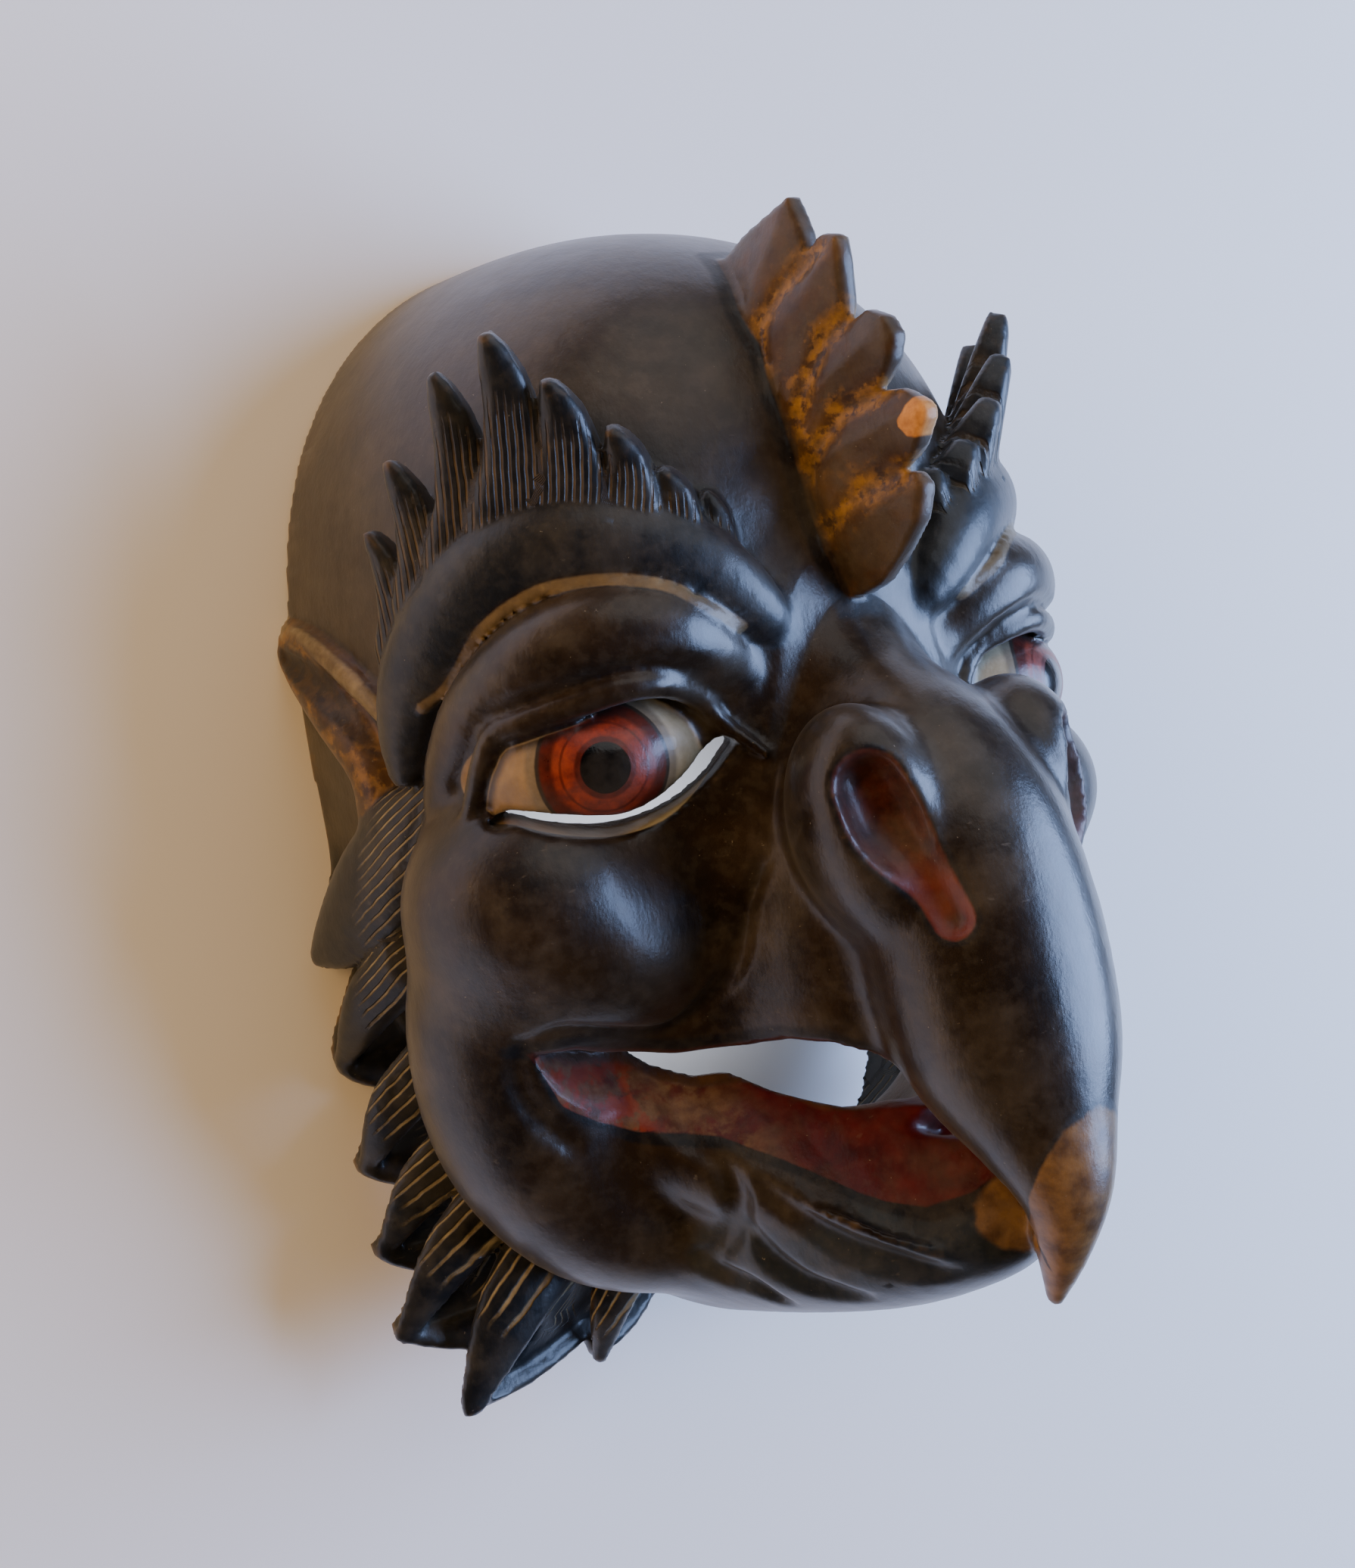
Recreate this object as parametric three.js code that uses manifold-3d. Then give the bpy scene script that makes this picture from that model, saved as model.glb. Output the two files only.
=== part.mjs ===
// Carved wooden mask of a bird-faced spirit: one block of wood, hollowed from behind, with a hooked beak,
// bulging eyes over narrow sight slits, feathered brows, a standing crest, ears and a feather ruff.
// X runs across the face, Y from the ruff to the crown, Z out of the face; the back rim lies on Z = 0.
import * as THREE from "three";
import { mergeVertices } from "three/addons/utils/BufferGeometryUtils.js";
import Module from "manifold-3d";

// Driving sizes in millimetres.
const MASK_HEIGHT = 212.4;
const WALL_THICKNESS = 8;
const SLIT_HEIGHT = 4.6;
const CREST_EDGE_THICKNESS = 3.2;
const RUFF_EDGE_THICKNESS = 4.2;
const RUFF_RISE = 1;
const LIP_DEPTH = 14;
const CREASE_DEPTH = 1;
const JAW_RIM_START = -40;
const JAW_RIM_SLOPE = 0.45;

// How finely the wood is carved: the cell of the working grid and the number of facets kept.
const CARVING_CELL = 1.75;
const FACET_COUNT = 8600;
const FACET_SLACK = 0.04;

// Positions of the carving are shares of the height: 212.4 parts from the ruff to the crown.
const CARVING_PARTS = 212.4;
const share = MASK_HEIGHT / CARVING_PARTS;

const WOOD_COLOUR = 0x2b2621;

const wasm = await Module();
wasm.setup();

function smoothUnion(a, b, blend) {
  if (blend <= 0) return Math.min(a, b);
  const mix = THREE.MathUtils.clamp(0.5 + (0.5 * (b - a)) / blend, 0, 1);
  return b + (a - b) * mix - blend * mix * (1 - mix);
}

function smoothOverlap(a, b, blend) {
  return -smoothUnion(-a, -b, blend);
}

function table(value, rows, from, to) {
  if (value <= rows[0][from]) return rows[0][to];
  for (let i = 1; i < rows.length; i += 1) {
    if (value <= rows[i][from]) {
      const step = (value - rows[i - 1][from]) / (rows[i][from] - rows[i - 1][from]);
      return THREE.MathUtils.lerp(rows[i - 1][to], rows[i][to], step);
    }
  }
  return rows[rows.length - 1][to];
}

function boxAround(points, margin = 0) {
  return new THREE.Box3().setFromPoints(points).expandByScalar(margin);
}

// A rounded roll along a curve; rows hold x, y, z and the radius. A flat roll is stretched along one normal.
function roll(rows, pieces, flat = null) {
  const path = new THREE.CatmullRomCurve3(
    rows.map((row) => new THREE.Vector3(row[0], row[1], row[2])), false, "catmullrom", 0.5);
  const girth = new THREE.CatmullRomCurve3(
    rows.map((row) => new THREE.Vector3(row[3], 0, 0)), false, "catmullrom", 0.5);
  const centres = [];
  const radii = [];
  for (let i = 0; i <= pieces; i += 1) {
    centres.push(path.getPoint(i / pieces));
    radii.push(girth.getPoint(i / pieces).x);
  }
  const normal = flat ? new THREE.Vector3(...flat.normal).normalize() : null;
  const squeeze = flat ? 1 / flat.stretch - 1 : 0;
  const bones = [];
  for (let i = 0; i < pieces; i += 1) {
    const along = centres[i + 1].clone().sub(centres[i]);
    if (flat) along.addScaledVector(normal, along.dot(normal) * squeeze);
    bones.push({ start: centres[i], along, square: Math.max(along.lengthSq(), 1e-9),
      radius: radii[i], swell: radii[i + 1] - radii[i] });
  }
  const reach = Math.max(...radii) * (flat ? Math.max(1, flat.stretch) : 1);
  const distance = (x, y, z) => {
    let nearest = Infinity;
    for (const bone of bones) {
      let dx = x - bone.start.x;
      let dy = y - bone.start.y;
      let dz = z - bone.start.z;
      if (flat) {
        const shift = (dx * normal.x + dy * normal.y + dz * normal.z) * squeeze;
        dx += shift * normal.x;
        dy += shift * normal.y;
        dz += shift * normal.z;
      }
      const t = THREE.MathUtils.clamp(
        (dx * bone.along.x + dy * bone.along.y + dz * bone.along.z) / bone.square, 0, 1);
      const gap = Math.hypot(dx - t * bone.along.x, dy - t * bone.along.y, dz - t * bone.along.z);
      nearest = Math.min(nearest, gap - bone.radius - t * bone.swell);
    }
    return nearest;
  };
  return { distance, box: boxAround(centres, reach) };
}

function ellipsoid(centre, radii, turn = [0, 0, 0]) {
  const euler = new THREE.Euler(...turn.map(THREE.MathUtils.degToRad), "ZYX");
  const back = new THREE.Matrix4().makeRotationFromEuler(euler).transpose();
  const middle = new THREE.Vector3(...centre);
  const size = new THREE.Vector3(...radii);
  const probe = new THREE.Vector3();
  const distance = (x, y, z) => {
    probe.set(x, y, z).sub(middle).applyMatrix4(back).divide(size);
    const near = probe.length() + 1e-6;
    const slope = probe.divide(size).length() + 1e-6;
    return (near * (near - 1)) / slope;
  };
  return { distance, box: boxAround([middle], Math.max(...radii)) };
}

// Signed distance to a closed outline in a plane, negative inside.
function outlineDistance(corners) {
  const sides = corners.map((corner, i) => {
    const next = corners[(i + 1) % corners.length];
    const ex = next.x - corner.x;
    const ey = next.y - corner.y;
    return { x: corner.x, y: corner.y, ex, ey, ny: next.y, square: ex * ex + ey * ey + 1e-12 };
  });
  return (px, py) => {
    let square = Infinity;
    let inside = false;
    for (const side of sides) {
      const wx = px - side.x;
      const wy = py - side.y;
      const t = THREE.MathUtils.clamp((wx * side.ex + wy * side.ey) / side.square, 0, 1);
      square = Math.min(square, (wx - side.ex * t) ** 2 + (wy - side.ey * t) ** 2);
      if ((side.y > py) !== (side.ny > py) && px < side.x + (wy * side.ex) / side.ey) inside = !inside;
    }
    return inside ? -Math.sqrt(square) : Math.sqrt(square);
  };
}

// Skull: half a rounded egg, straight where it meets the rim.
function skull({ halfWidth, crown, chin, depth, middle, roundness, flatness }) {
  const distance = (x, y, z) => {
    const rise = Math.max(z, 0);
    const v = y - middle;
    const reach = v > 0 ? crown : chin;
    const ring = ((Math.abs(x) / halfWidth) ** roundness + (Math.abs(v) / reach) ** roundness) ** (1 / roundness);
    const size = (ring ** flatness + (rise / depth) ** flatness) ** (1 / flatness) + 1e-4;
    return Math.hypot(x, v, rise) * (1 - 1 / size);
  };
  const box = new THREE.Box3(
    new THREE.Vector3(-halfWidth, middle - chin, -30), new THREE.Vector3(halfWidth, middle + crown, depth));
  return { distance, box };
}

// One feather of the brow: a leaf with a full outer edge and a hollow inner edge, thick along its normal.
const LEAF_OUTLINE = [[-0.5, -0.3], [-0.6, 0.1], [-0.56, 0.4], [-0.4, 0.7], [-0.2, 0.88], [0.12, 1.04],
  [0.2, 0.8], [0.26, 0.55], [0.4, 0.25], [0.5, 0], [0.5, -0.3]];
const LEAF_FACE = { root: 3.5, tip: 0.8, edgeFall: 0.9, edgeBand: 2, lean: 0.1 };
const LEAF_BACK = { root: 9, tip: 4.5 };

function leaf(root, tip, width, facing) {
  const base = new THREE.Vector3(...root);
  const along = new THREE.Vector3(...tip).sub(base);
  const length = along.length();
  along.normalize();
  const out = facing.clone().addScaledVector(along, -facing.dot(along)).normalize();
  const across = new THREE.Vector3().crossVectors(along, out);
  const edge = outlineDistance(LEAF_OUTLINE.map(([u, v]) => new THREE.Vector2(u * width, v * length)));
  const corners = LEAF_OUTLINE.flatMap(([u, v]) => [-LEAF_BACK.root, LEAF_FACE.root].map((k) => base.clone()
    .addScaledVector(across, u * width).addScaledVector(along, v * length).addScaledVector(out, k)));
  const probe = new THREE.Vector3();
  const distance = (x, y, z) => {
    probe.set(x, y, z).sub(base);
    const u = probe.dot(across);
    const v = probe.dot(along);
    const k = probe.dot(out);
    const side = edge(u, v);
    const t = THREE.MathUtils.clamp(v / length, 0, 1);
    const face = THREE.MathUtils.lerp(LEAF_FACE.root, LEAF_FACE.tip, t)
      - LEAF_FACE.edgeFall * THREE.MathUtils.clamp(1 + side / LEAF_FACE.edgeBand, 0, 1)
      - LEAF_FACE.lean * (u + width / 2);
    const back = THREE.MathUtils.lerp(LEAF_BACK.root, LEAF_BACK.tip, t);
    return smoothOverlap(smoothOverlap(side, k - face, 0.8), -(k + back), 1);
  };
  return { distance, box: boxAround(corners) };
}

// Height of the back rim: flat behind the head, rising in a slope behind the jaw.
function rimHeight(y) {
  return JAW_RIM_SLOPE * Math.max(JAW_RIM_START - y, 0);
}

// Mouth: the lower lip as x, y, z along its outer edge, the beak's lower edge as y over z.
const LIP_EDGE = [[0, -71.5, 119], [6, -70.5, 112], [12, -71, 104.5], [16, -69.5, 98.5], [20, -67.5, 93],
  [25, -63.5, 86], [30, -60.5, 79], [36, -58.5, 72.5], [43, -56, 68.5], [50, -52, 67.5], [56, -47.7, 67.5],
  [59, -43.5, 67.5], [61, -40, 67.5], [63, -36, 66]];
const BEAK_EDGE = [[52, -43.3], [72, -43.3], [79, -43], [88, -41.5], [95, -42], [100, -45], [104.5, -48.7],
  [110, -55], [119, -66.5], [123, -84], [126, -100]];
const CORNER_LIFT = [[0, 0], [36, 0], [48, 2.8], [54, 5], [60, 5.3]];
const LIP_SLOPE = [[0, 0.9], [30, 0.9], [40, 1.4], [60, 2.2]];
const MOUTH_BACK = 48;
const MOUTH_HALF_WIDTH = 62.5;

function mouthGap(x, y, z) {
  const side = Math.abs(x);
  const top = table(z, BEAK_EDGE, 0, 1) + table(side, CORNER_LIFT, 0, 1);
  const inward = table(side, LIP_EDGE, 0, 2) - z;
  const lip = table(side, LIP_EDGE, 0, 1)
    + THREE.MathUtils.clamp(inward * table(side, LIP_SLOPE, 0, 1), -6, LIP_DEPTH);
  const gap = smoothOverlap((y - top) * 0.85, (lip - y) * 0.7, 1.5);
  return smoothOverlap(gap, smoothOverlap(MOUTH_BACK - z, side - MOUTH_HALF_WIDTH, 1), 1);
}

// Ruff: each feather has a tip, a control point for its blunt underside and the notch after it.
const RUFF_START = [57.7, 2.8];
const RUFF_FEATHERS = [
  { tip: [68.9, -24.1], under: [69.1, -28.5], notch: [61.6, -29.1] },
  { tip: [69.5, -43.9], under: [70.9, -49.6], notch: [61.7, -52.4] },
  { tip: [72.1, -63.2], under: [73, -66.8], notch: [61.8, -70.4] },
  { tip: [73.9, -77.7], under: [74.6, -81], notch: [65.3, -84.6] },
  { tip: [75.2, -91.6], under: [75.6, -94.9], notch: [62.1, -99] },
  { tip: [67.2, -107.9], under: [57.3, -110], notch: [39.2, -104.3] },
  { tip: [38.8, -107.8], under: [29.8, -107.4], notch: [22.2, -101.5] },
];
const RUFF_INNER = [[10, -95], [30, -40], [50, 20]];

function ruffOutline() {
  const shape = new THREE.Shape().moveTo(...RUFF_START);
  for (const { tip, under, notch } of RUFF_FEATHERS) {
    shape.lineTo(...tip);
    shape.quadraticCurveTo(...under, ...notch);
  }
  for (const corner of RUFF_INNER) shape.lineTo(...corner);
  return shape.getPoints(5);
}

function ruff() {
  const edge = outlineDistance(ruffOutline());
  const distance = (x, y, z) => {
    const side = edge(Math.abs(x), y);
    const top = RUFF_EDGE_THICKNESS + RUFF_RISE * THREE.MathUtils.clamp(-side - 4, 0, 26);
    return smoothOverlap(side * 0.9, (z - rimHeight(y) - top) * 0.8, 2);
  };
  return { distance, box: new THREE.Box3(new THREE.Vector3(-78, -114, -10), new THREE.Vector3(78, 20, 56)) };
}

// Crest: side view of six leaf lobes, the fourth broken off square; rows hold Y and Z.
const CREST_OUTLINE = [[88, 60], [94, 74], [97.3, 86.7], [94, 88.2], [90.5, 89.6], [87.6, 89.8], [89.6, 93.5],
  [88.5, 97.7], [84.5, 98.2], [79.5, 98], [74.6, 98], [75.5, 102.5], [73.8, 106.6], [70.5, 108.7], [66.5, 107.2],
  [62.6, 103], [62, 108.5], [59, 113.5], [57, 114], [52.5, 111], [49, 106.5], [48.8, 109.5], [46.3, 111.5],
  [41, 109.5], [36, 104.5], [31.5, 98.5], [29.8, 93], [32, 84], [60, 70]];
const CREST_SPREAD = 0.33;

function crest() {
  const shape = new THREE.Shape(CREST_OUTLINE.map(([y, z]) => new THREE.Vector2(y, z)));
  const edge = outlineDistance(shape.getPoints());
  const distance = (x, y, z) => {
    const side = edge(y, z);
    const half = CREST_EDGE_THICKNESS / 2 + CREST_SPREAD * Math.max(-side, 0);
    return smoothOverlap(side * 0.95, (Math.abs(x) - half) * 0.93, 1.2);
  };
  return { distance, box: new THREE.Box3(new THREE.Vector3(-10, 26, 58), new THREE.Vector3(10, 100, 118)) };
}

// The block of steps: each adds or cuts a shape with a soft blend; paired shapes stand on both sides.
const steps = [];
const add = (shape, blend, paired = true) => steps.push({ shape, blend, paired, cuts: false });
const cut = (shape, blend, paired = true) => steps.push({ shape, blend, paired, cuts: true });

// Head, cheeks and jaw: the form that the hollow follows.
add(skull({ halfWidth: 64, crown: 74, chin: 136, depth: 87, middle: 30, roundness: 2.2, flatness: 3 }), 0, false);
add(ellipsoid([52, -13, 60], [22.5, 19, 23]), 9);
add(ellipsoid([43, -24, 58], [20, 16, 23.5]), 9);
add(roll([[50, -4, 54, 15], [53, -20, 54, 18], [54, -37, 49, 19], [50, -54, 46, 19.5], [42, -67, 46, 19],
  [33, -74, 50, 17], [26, -76, 57, 13]], 24), 7);
add(roll([[0, -4, 78, 26], [0, -20, 80, 28], [0, -36, 80, 27], [0, -46, 76, 25]], 8), 9, false);
add(roll([[0, -77, 104, 12.5], [0, -78, 94, 19.5], [0, -79, 80, 27.5], [0, -80, 64, 33], [0, -83, 46, 35]], 16,
  { normal: [0, 1, 0], stretch: 0.58 }), 6, false);
const headSteps = steps.length;

// Nose root, eyelid bulge, eyeball, the swell under the eye and the brow.
add(ellipsoid([0, 22, 66], [22, 22, 26]), 12, false);
add(roll([[24, 21, 84, 4.5], [30, 25.5, 85, 6.5], [37, 28.5, 84, 8.3], [45, 28.5, 79.5, 9.3], [52, 25.5, 72.5, 9.3],
  [57.5, 19.5, 63.5, 8], [60.5, 12, 55, 5.5], [61.5, 6, 50, 3.5]], 24), 3.5);
add(ellipsoid([42.5, 8.5, 65.5], [21, 14.5, 21], [0, 22, 0]), 0.8);
add(ellipsoid([40, -14, 56], [20, 15, 23]), 6);
add(roll([[13, 23, 85, 2.5], [20, 29.5, 88, 5.5], [28, 36, 87, 7.6], [37, 41.3, 83, 8.6], [46, 43.7, 76.5, 9],
  [54, 41, 67.5, 8.7], [59.5, 34.5, 58, 8], [62.5, 26, 49, 7], [63.5, 17, 43, 5], [63.5, 10, 40, 3]], 27), 1.2);

// Hooked beak, nostril wings, the tip of the jaw and the thick lip.
add(roll([[0, 10, 90, 13], [0, -4, 103, 18], [0, -20, 109, 20], [0, -40, 114, 18.8], [0, -54, 119.3, 13],
  [0, -66, 123.5, 8], [0, -77, 122, 4.6], [0, -86.5, 119, 1.6]], 35), 5, false);
add(ellipsoid([15.5, -6, 105], [12.5, 20, 14.5], [0, 6, -10]), 3);
add(ellipsoid([0, -79, 106.5], [12, 9.5, 13]), 5, false);
add(roll([[0, -71.9, 104.5, 10.5], [8, -71.5, 101, 11], [14, -70.5, 93, 11.5], [20, -67.9, 78.5, 12],
  [30, -61, 64.5, 12], [40, -57, 56, 11]], 15), 4);

// Crease above the eyelid, then the eyelid itself.
cut(roll([[23, 11.2, 88.7, 0.6], [31.1, 19.7, 89.7, 1.2], [39.5, 22.7, 90.8, 1.7], [46.9, 22.8, 88.2, 2],
  [53.8, 21, 82.8, 2.1], [59.7, 19.9, 77.1, 2], [63.6, 18.8, 71.4, 1.8], [64.5, 14, 66.1, 1.5],
  [64.1, 7.6, 58.7, 1]], 24), 1.5);
add(roll([[22.7, 6.6, 89.6, 0.8], [27.5, 12.5, 85.1, 1.5], [31.3, 17.4, 84.6, 2.1], [38.5, 20.3, 86.8, 2.3],
  [45.2, 20.9, 86, 2.4], [52.4, 19.3, 81.1, 2.4], [58.6, 17.3, 74.9, 2.3], [61.5, 15.8, 70.5, 2.2],
  [63.4, 11.4, 68.2, 2], [63.8, 6.5, 65.1, 1.8], [64.4, 2.7, 62.6, 1.4]], 30), 0.8);

// Brow feathers from the nose outwards: root, tip and width.
const BROW_FEATHERS = [
  { root: [27, 39, 85], tip: [25, 49.5, 88], width: 9.5 },
  { root: [33.5, 44, 83.5], tip: [33.4, 53, 89], width: 11.5 },
  { root: [40.5, 48, 80.5], tip: [41.5, 60, 88], width: 13 },
  { root: [48, 50, 75], tip: [49.5, 68.5, 84], width: 15 },
  { root: [54, 49, 68.5], tip: [56, 77.2, 78.2], width: 15.5 },
  { root: [59, 45, 60.5], tip: [60, 73.5, 66.5], width: 14 },
  { root: [62.5, 39, 52.5], tip: [64, 62, 53.5], width: 12 },
  { root: [64, 32, 45], tip: [66.5, 51, 47], width: 10 },
];
const FEATHER_LOOK = new THREE.Vector3(0.5, -0.12, 0.85).normalize();
for (const { root, tip, width } of BROW_FEATHERS) {
  const facing = new THREE.Vector3(root[0] * 0.9, (root[1] - 20) * 0.35, root[2] * 0.75).normalize();
  add(leaf(root, tip, width, facing.addScaledVector(FEATHER_LOOK, 0.9)), 0.8);
}

// Nostril, the crease round the cheek and the folds of the jaw.
cut(roll([[23, 1.5, 115, 4.6], [21.4, -5, 117, 4.8], [18.8, -12, 120, 3.5], [16, -20, 122.5, 2.8]], 10), 1.5);
const CREASES = [
  { blend: 2.2, girth: 2, path: [[28.8, -2.4, 105.5], [26, -11, 90], [28.6, -18.3, 86.6], [29.8, -25.9, 84.6],
    [32, -32.2, 80.9], [36.5, -37.5, 76], [41.9, -38.2, 73.6], [50.9, -35.7, 73.9], [58.4, -33.7, 72.3],
    [63.3, -35.8, 67.7]] },
  { blend: 2.2, girth: 1.6, path: [[63.3, -35.8, 67.7], [63.9, -40.4, 65.5], [63.1, -44.6, 64.9],
    [60.3, -49.9, 65], [54.8, -56, 65.4]] },
  { blend: 2.5, girth: 1.9, path: [[31.4, -65.4, 83.6], [28, -71.6, 90.5], [24.4, -75.8, 97.1],
    [19.7, -78.8, 103], [14.7, -81.4, 107.6], [11.4, -81.9, 112.1]] },
  { blend: 2.5, girth: 1.9, path: [[31.6, -74.3, 78.8], [29.5, -80, 82.3], [26.6, -84, 86.3],
    [23.1, -86, 90.7], [20.1, -87, 93.9]] },
  { blend: 2.5, girth: 1.9, path: [[38.2, -58.6, 73.7], [35.1, -61.4, 77.9], [34.1, -66, 79.8], [33.2, -71.1, 78.8],
    [32.6, -78.1, 72.7], [34.8, -81.6, 68.2]] },
];
for (const { blend, girth, path } of CREASES) {
  const rows = path.map((point, i) => [...point,
    CREASE_DEPTH * (girth * Math.sin((Math.PI * (i + 0.6)) / (path.length + 0.2)) ** 0.7 + 0.2)]);
  cut(roll(rows, 3 * (path.length - 1)), blend);
}
cut({ distance: mouthGap,
  box: new THREE.Box3(new THREE.Vector3(-66, -100, 40), new THREE.Vector3(66, -30, 130)) }, 1, false);

// Ruff: the flat collar, the leaf below the ear and a raised back on each feather.
add(ruff(), 2.5, false);
add(roll([[60.5, 5, 42, 3], [63.5, -2, 35, 7.5], [66, -11, 26, 9.5], [68.5, -19, 16, 7], [71, -24, 8, 2.5]], 12,
  { normal: [1, 0, 0.2], stretch: 0.5 }), 1);
const FEATHER_BACKS = [
  { root: [62, -24, 30], tip: [68.3, -45.1, 5.8], radius: 6.5 },
  { root: [61, -45, 28], tip: [70.5, -63.8, 14.2], radius: 6 },
  { root: [57, -60, 30], tip: [72.4, -78.2, 20.7], radius: 6 },
  { root: [52, -70, 33], tip: [73.9, -92.4, 27.1], radius: 6.5 },
  { root: [45, -80, 36], tip: [66.2, -107.4, 33.8], radius: 7.5 },
  { root: [34, -88, 42], tip: [38, -107.5, 33.9], radius: 5 },
];
const FEATHER_BULGE = new THREE.Vector3(1, 2.5, 1.5);
for (const { root, tip, radius } of FEATHER_BACKS) {
  const start = new THREE.Vector3(...root);
  const end = new THREE.Vector3(...tip);
  const middle = start.clone().lerp(end, 0.5).add(FEATHER_BULGE);
  const neck = end.clone().lerp(middle, 0.1);
  add(roll([[...start, radius], [...middle, radius * 0.85], [...neck, radius * 0.35], [...end, 1.2]], 9,
    { normal: [0.35, 0, 1], stretch: 0.5 }), 1.2);
}

add(crest(), 1.5, false);

// Ear: a leaf on the side of the head with a thin front ridge and a dark hollow.
add(roll([[61, 33, 1, 6], [62, 28, 10, 7], [62, 20, 19, 7], [61, 10, 27, 6.5], [60, -1, 27, 7]], 12), 1.5);
add(roll([[63.5, 36.5, 1, 2.2], [64.5, 34.5, 10, 2.4], [64.8, 31, 19, 2.4], [64.5, 26, 28, 2.3], [63.3, 20, 36, 2.2],
  [61.8, 12, 43, 1.6]], 15), 0.8);
cut(roll([[68, 32, 4, 1.5], [69, 29, 13, 2.6], [68.5, 24.5, 22, 2.8], [66.5, 17, 31, 2.2], [63.5, 9, 39, 1.2]], 12), 1);
const outerSteps = steps.length;

// From behind: pockets behind the eyes and in the jaw, then the sight slits under the eyeballs.
cut(ellipsoid([40, 7, 52], [19, 13, 23], [0, 20, 0]), 2);
cut(ellipsoid([0, -60, 24], [56, 34.5, 42]), 4, false);
const SLIT_PATH = [[62.6, 1.5, 67.2, 0.3], [60.6, 2.2, 71, 0.52], [57.8, 1, 75.1, 0.74], [52.8, -0.4, 78.5, 0.87],
  [46.7, -1.3, 80.4, 0.91], [41.9, -0.4, 82.1, 0.96], [36.8, 1.9, 83.3, 1], [31.1, 5.3, 83.1, 0.96],
  [28, 8.2, 84.6, 0.78], [26.4, 8.8, 85.5, 0.43]];
cut(roll(SLIT_PATH.map(([x, y, z, wide]) => [x, y, z, (wide * SLIT_HEIGHT) / share / 2]), 27,
  { normal: [0.45, -0.1, 0.9], stretch: 9 }), 0.4);

// The working grid covers one half of the mask, from its middle plane outwards; the other half mirrors it.
const cell = CARVING_CELL;
const GRID_LOW = new THREE.Vector3(-cell / 2, -120, -8);
const GRID_HIGH = new THREE.Vector3(80, 110, 138);
const RIM_SPARE = 3;
const count = GRID_HIGH.clone().sub(GRID_LOW).divideScalar(cell).ceil().addScalar(1);
const nodeX = (i) => GRID_LOW.x + i * cell;
const nodeY = (j) => GRID_LOW.y + j * cell;
const nodeZ = (k) => GRID_LOW.z + k * cell;
const nodeIndex = (i, j, k) => (i * count.y + j) * count.z + k;

function applyStep(values, step) {
  const reach = step.blend + 3;
  const low = step.shape.box.min.clone().subScalar(reach).sub(GRID_LOW).divideScalar(cell);
  const high = step.shape.box.max.clone().addScalar(reach).sub(GRID_LOW).divideScalar(cell);
  const firstX = step.paired ? Math.max(0, Math.floor(low.x) - 1) : 0;
  for (let i = firstX; i <= Math.min(count.x - 1, Math.ceil(high.x)); i += 1) {
    const x = step.paired ? Math.sqrt(nodeX(i) ** 2 + 0.6) : Math.abs(nodeX(i));
    for (let j = Math.max(0, Math.floor(low.y)); j <= Math.min(count.y - 1, Math.ceil(high.y)); j += 1) {
      for (let k = Math.max(0, Math.floor(low.z)); k <= Math.min(count.z - 1, Math.ceil(high.z)); k += 1) {
        const at = nodeIndex(i, j, k);
        const distance = step.shape.distance(x, nodeY(j), nodeZ(k));
        values[at] = step.cuts
          ? smoothOverlap(values[at], -distance, step.blend) : smoothUnion(values[at], distance, step.blend);
      }
    }
  }
}

function carve() {
  const size = count.x * count.y * count.z;
  const solid = new Float32Array(size).fill(50);
  const wall = WALL_THICKNESS / share;
  steps.slice(0, headSteps).forEach((step) => applyStep(solid, step));
  const head = solid.slice();
  steps.slice(headSteps, outerSteps).forEach((step) => applyStep(solid, step));
  for (let at = 0; at < size; at += 1) solid[at] = smoothOverlap(solid[at], -(head[at] + wall), 2);
  steps.slice(outerSteps).forEach((step) => applyStep(solid, step));
  for (let i = 0; i < count.x; i += 1) {
    for (let j = 0; j < count.y; j += 1) {
      for (let k = 0; k < count.z; k += 1) {
        const at = nodeIndex(i, j, k);
        solid[at] = Math.max(solid[at], rimHeight(nodeY(j)) - RIM_SPARE - nodeZ(k));
      }
    }
  }
  return solid;
}

// A cell's eight corners, its edges and the rings of its faces.
const CELL_CORNERS = [0, 1, 2, 3, 4, 5, 6, 7].map((bits) => [(bits >> 2) & 1, (bits >> 1) & 1, bits & 1]);
const CELL_EDGES = CELL_CORNERS.flatMap((corner, a) => [0, 1, 2]
  .filter((axis) => corner[axis] === 0).map((axis) => [a, a + [4, 2, 1][axis]]));
const CELL_RINGS = [[0, 1, 3, 2], [4, 5, 7, 6], [0, 1, 5, 4], [2, 3, 7, 6], [0, 2, 6, 4], [1, 3, 7, 5]];
const CORNER_STEPS = CELL_CORNERS.map(([a, b, c]) => nodeIndex(a, b, c));
const ALL_WOOD = (1 << CELL_CORNERS.length) - 1;

function woodBits(solid, at) {
  let bits = 0;
  for (let corner = 0; corner < 8; corner += 1) {
    if (solid[at + CORNER_STEPS[corner]] < 0) bits |= 1 << corner;
  }
  return bits;
}

function pinchedCorners(bits) {
  const wood = (corner) => (bits >> corner) & 1;
  for (const ring of CELL_RINGS) {
    const [a, b, c, d] = ring.map(wood);
    if (a === c && b === d && a !== b) return ring;
  }
  for (let corner = 0; corner < 4; corner += 1) {
    const pair = (1 << corner) | (1 << (7 - corner));
    if (bits === pair || bits === ALL_WOOD - pair) return [0, 1, 2, 3, 4, 5, 6, 7];
  }
  return null;
}

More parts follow.
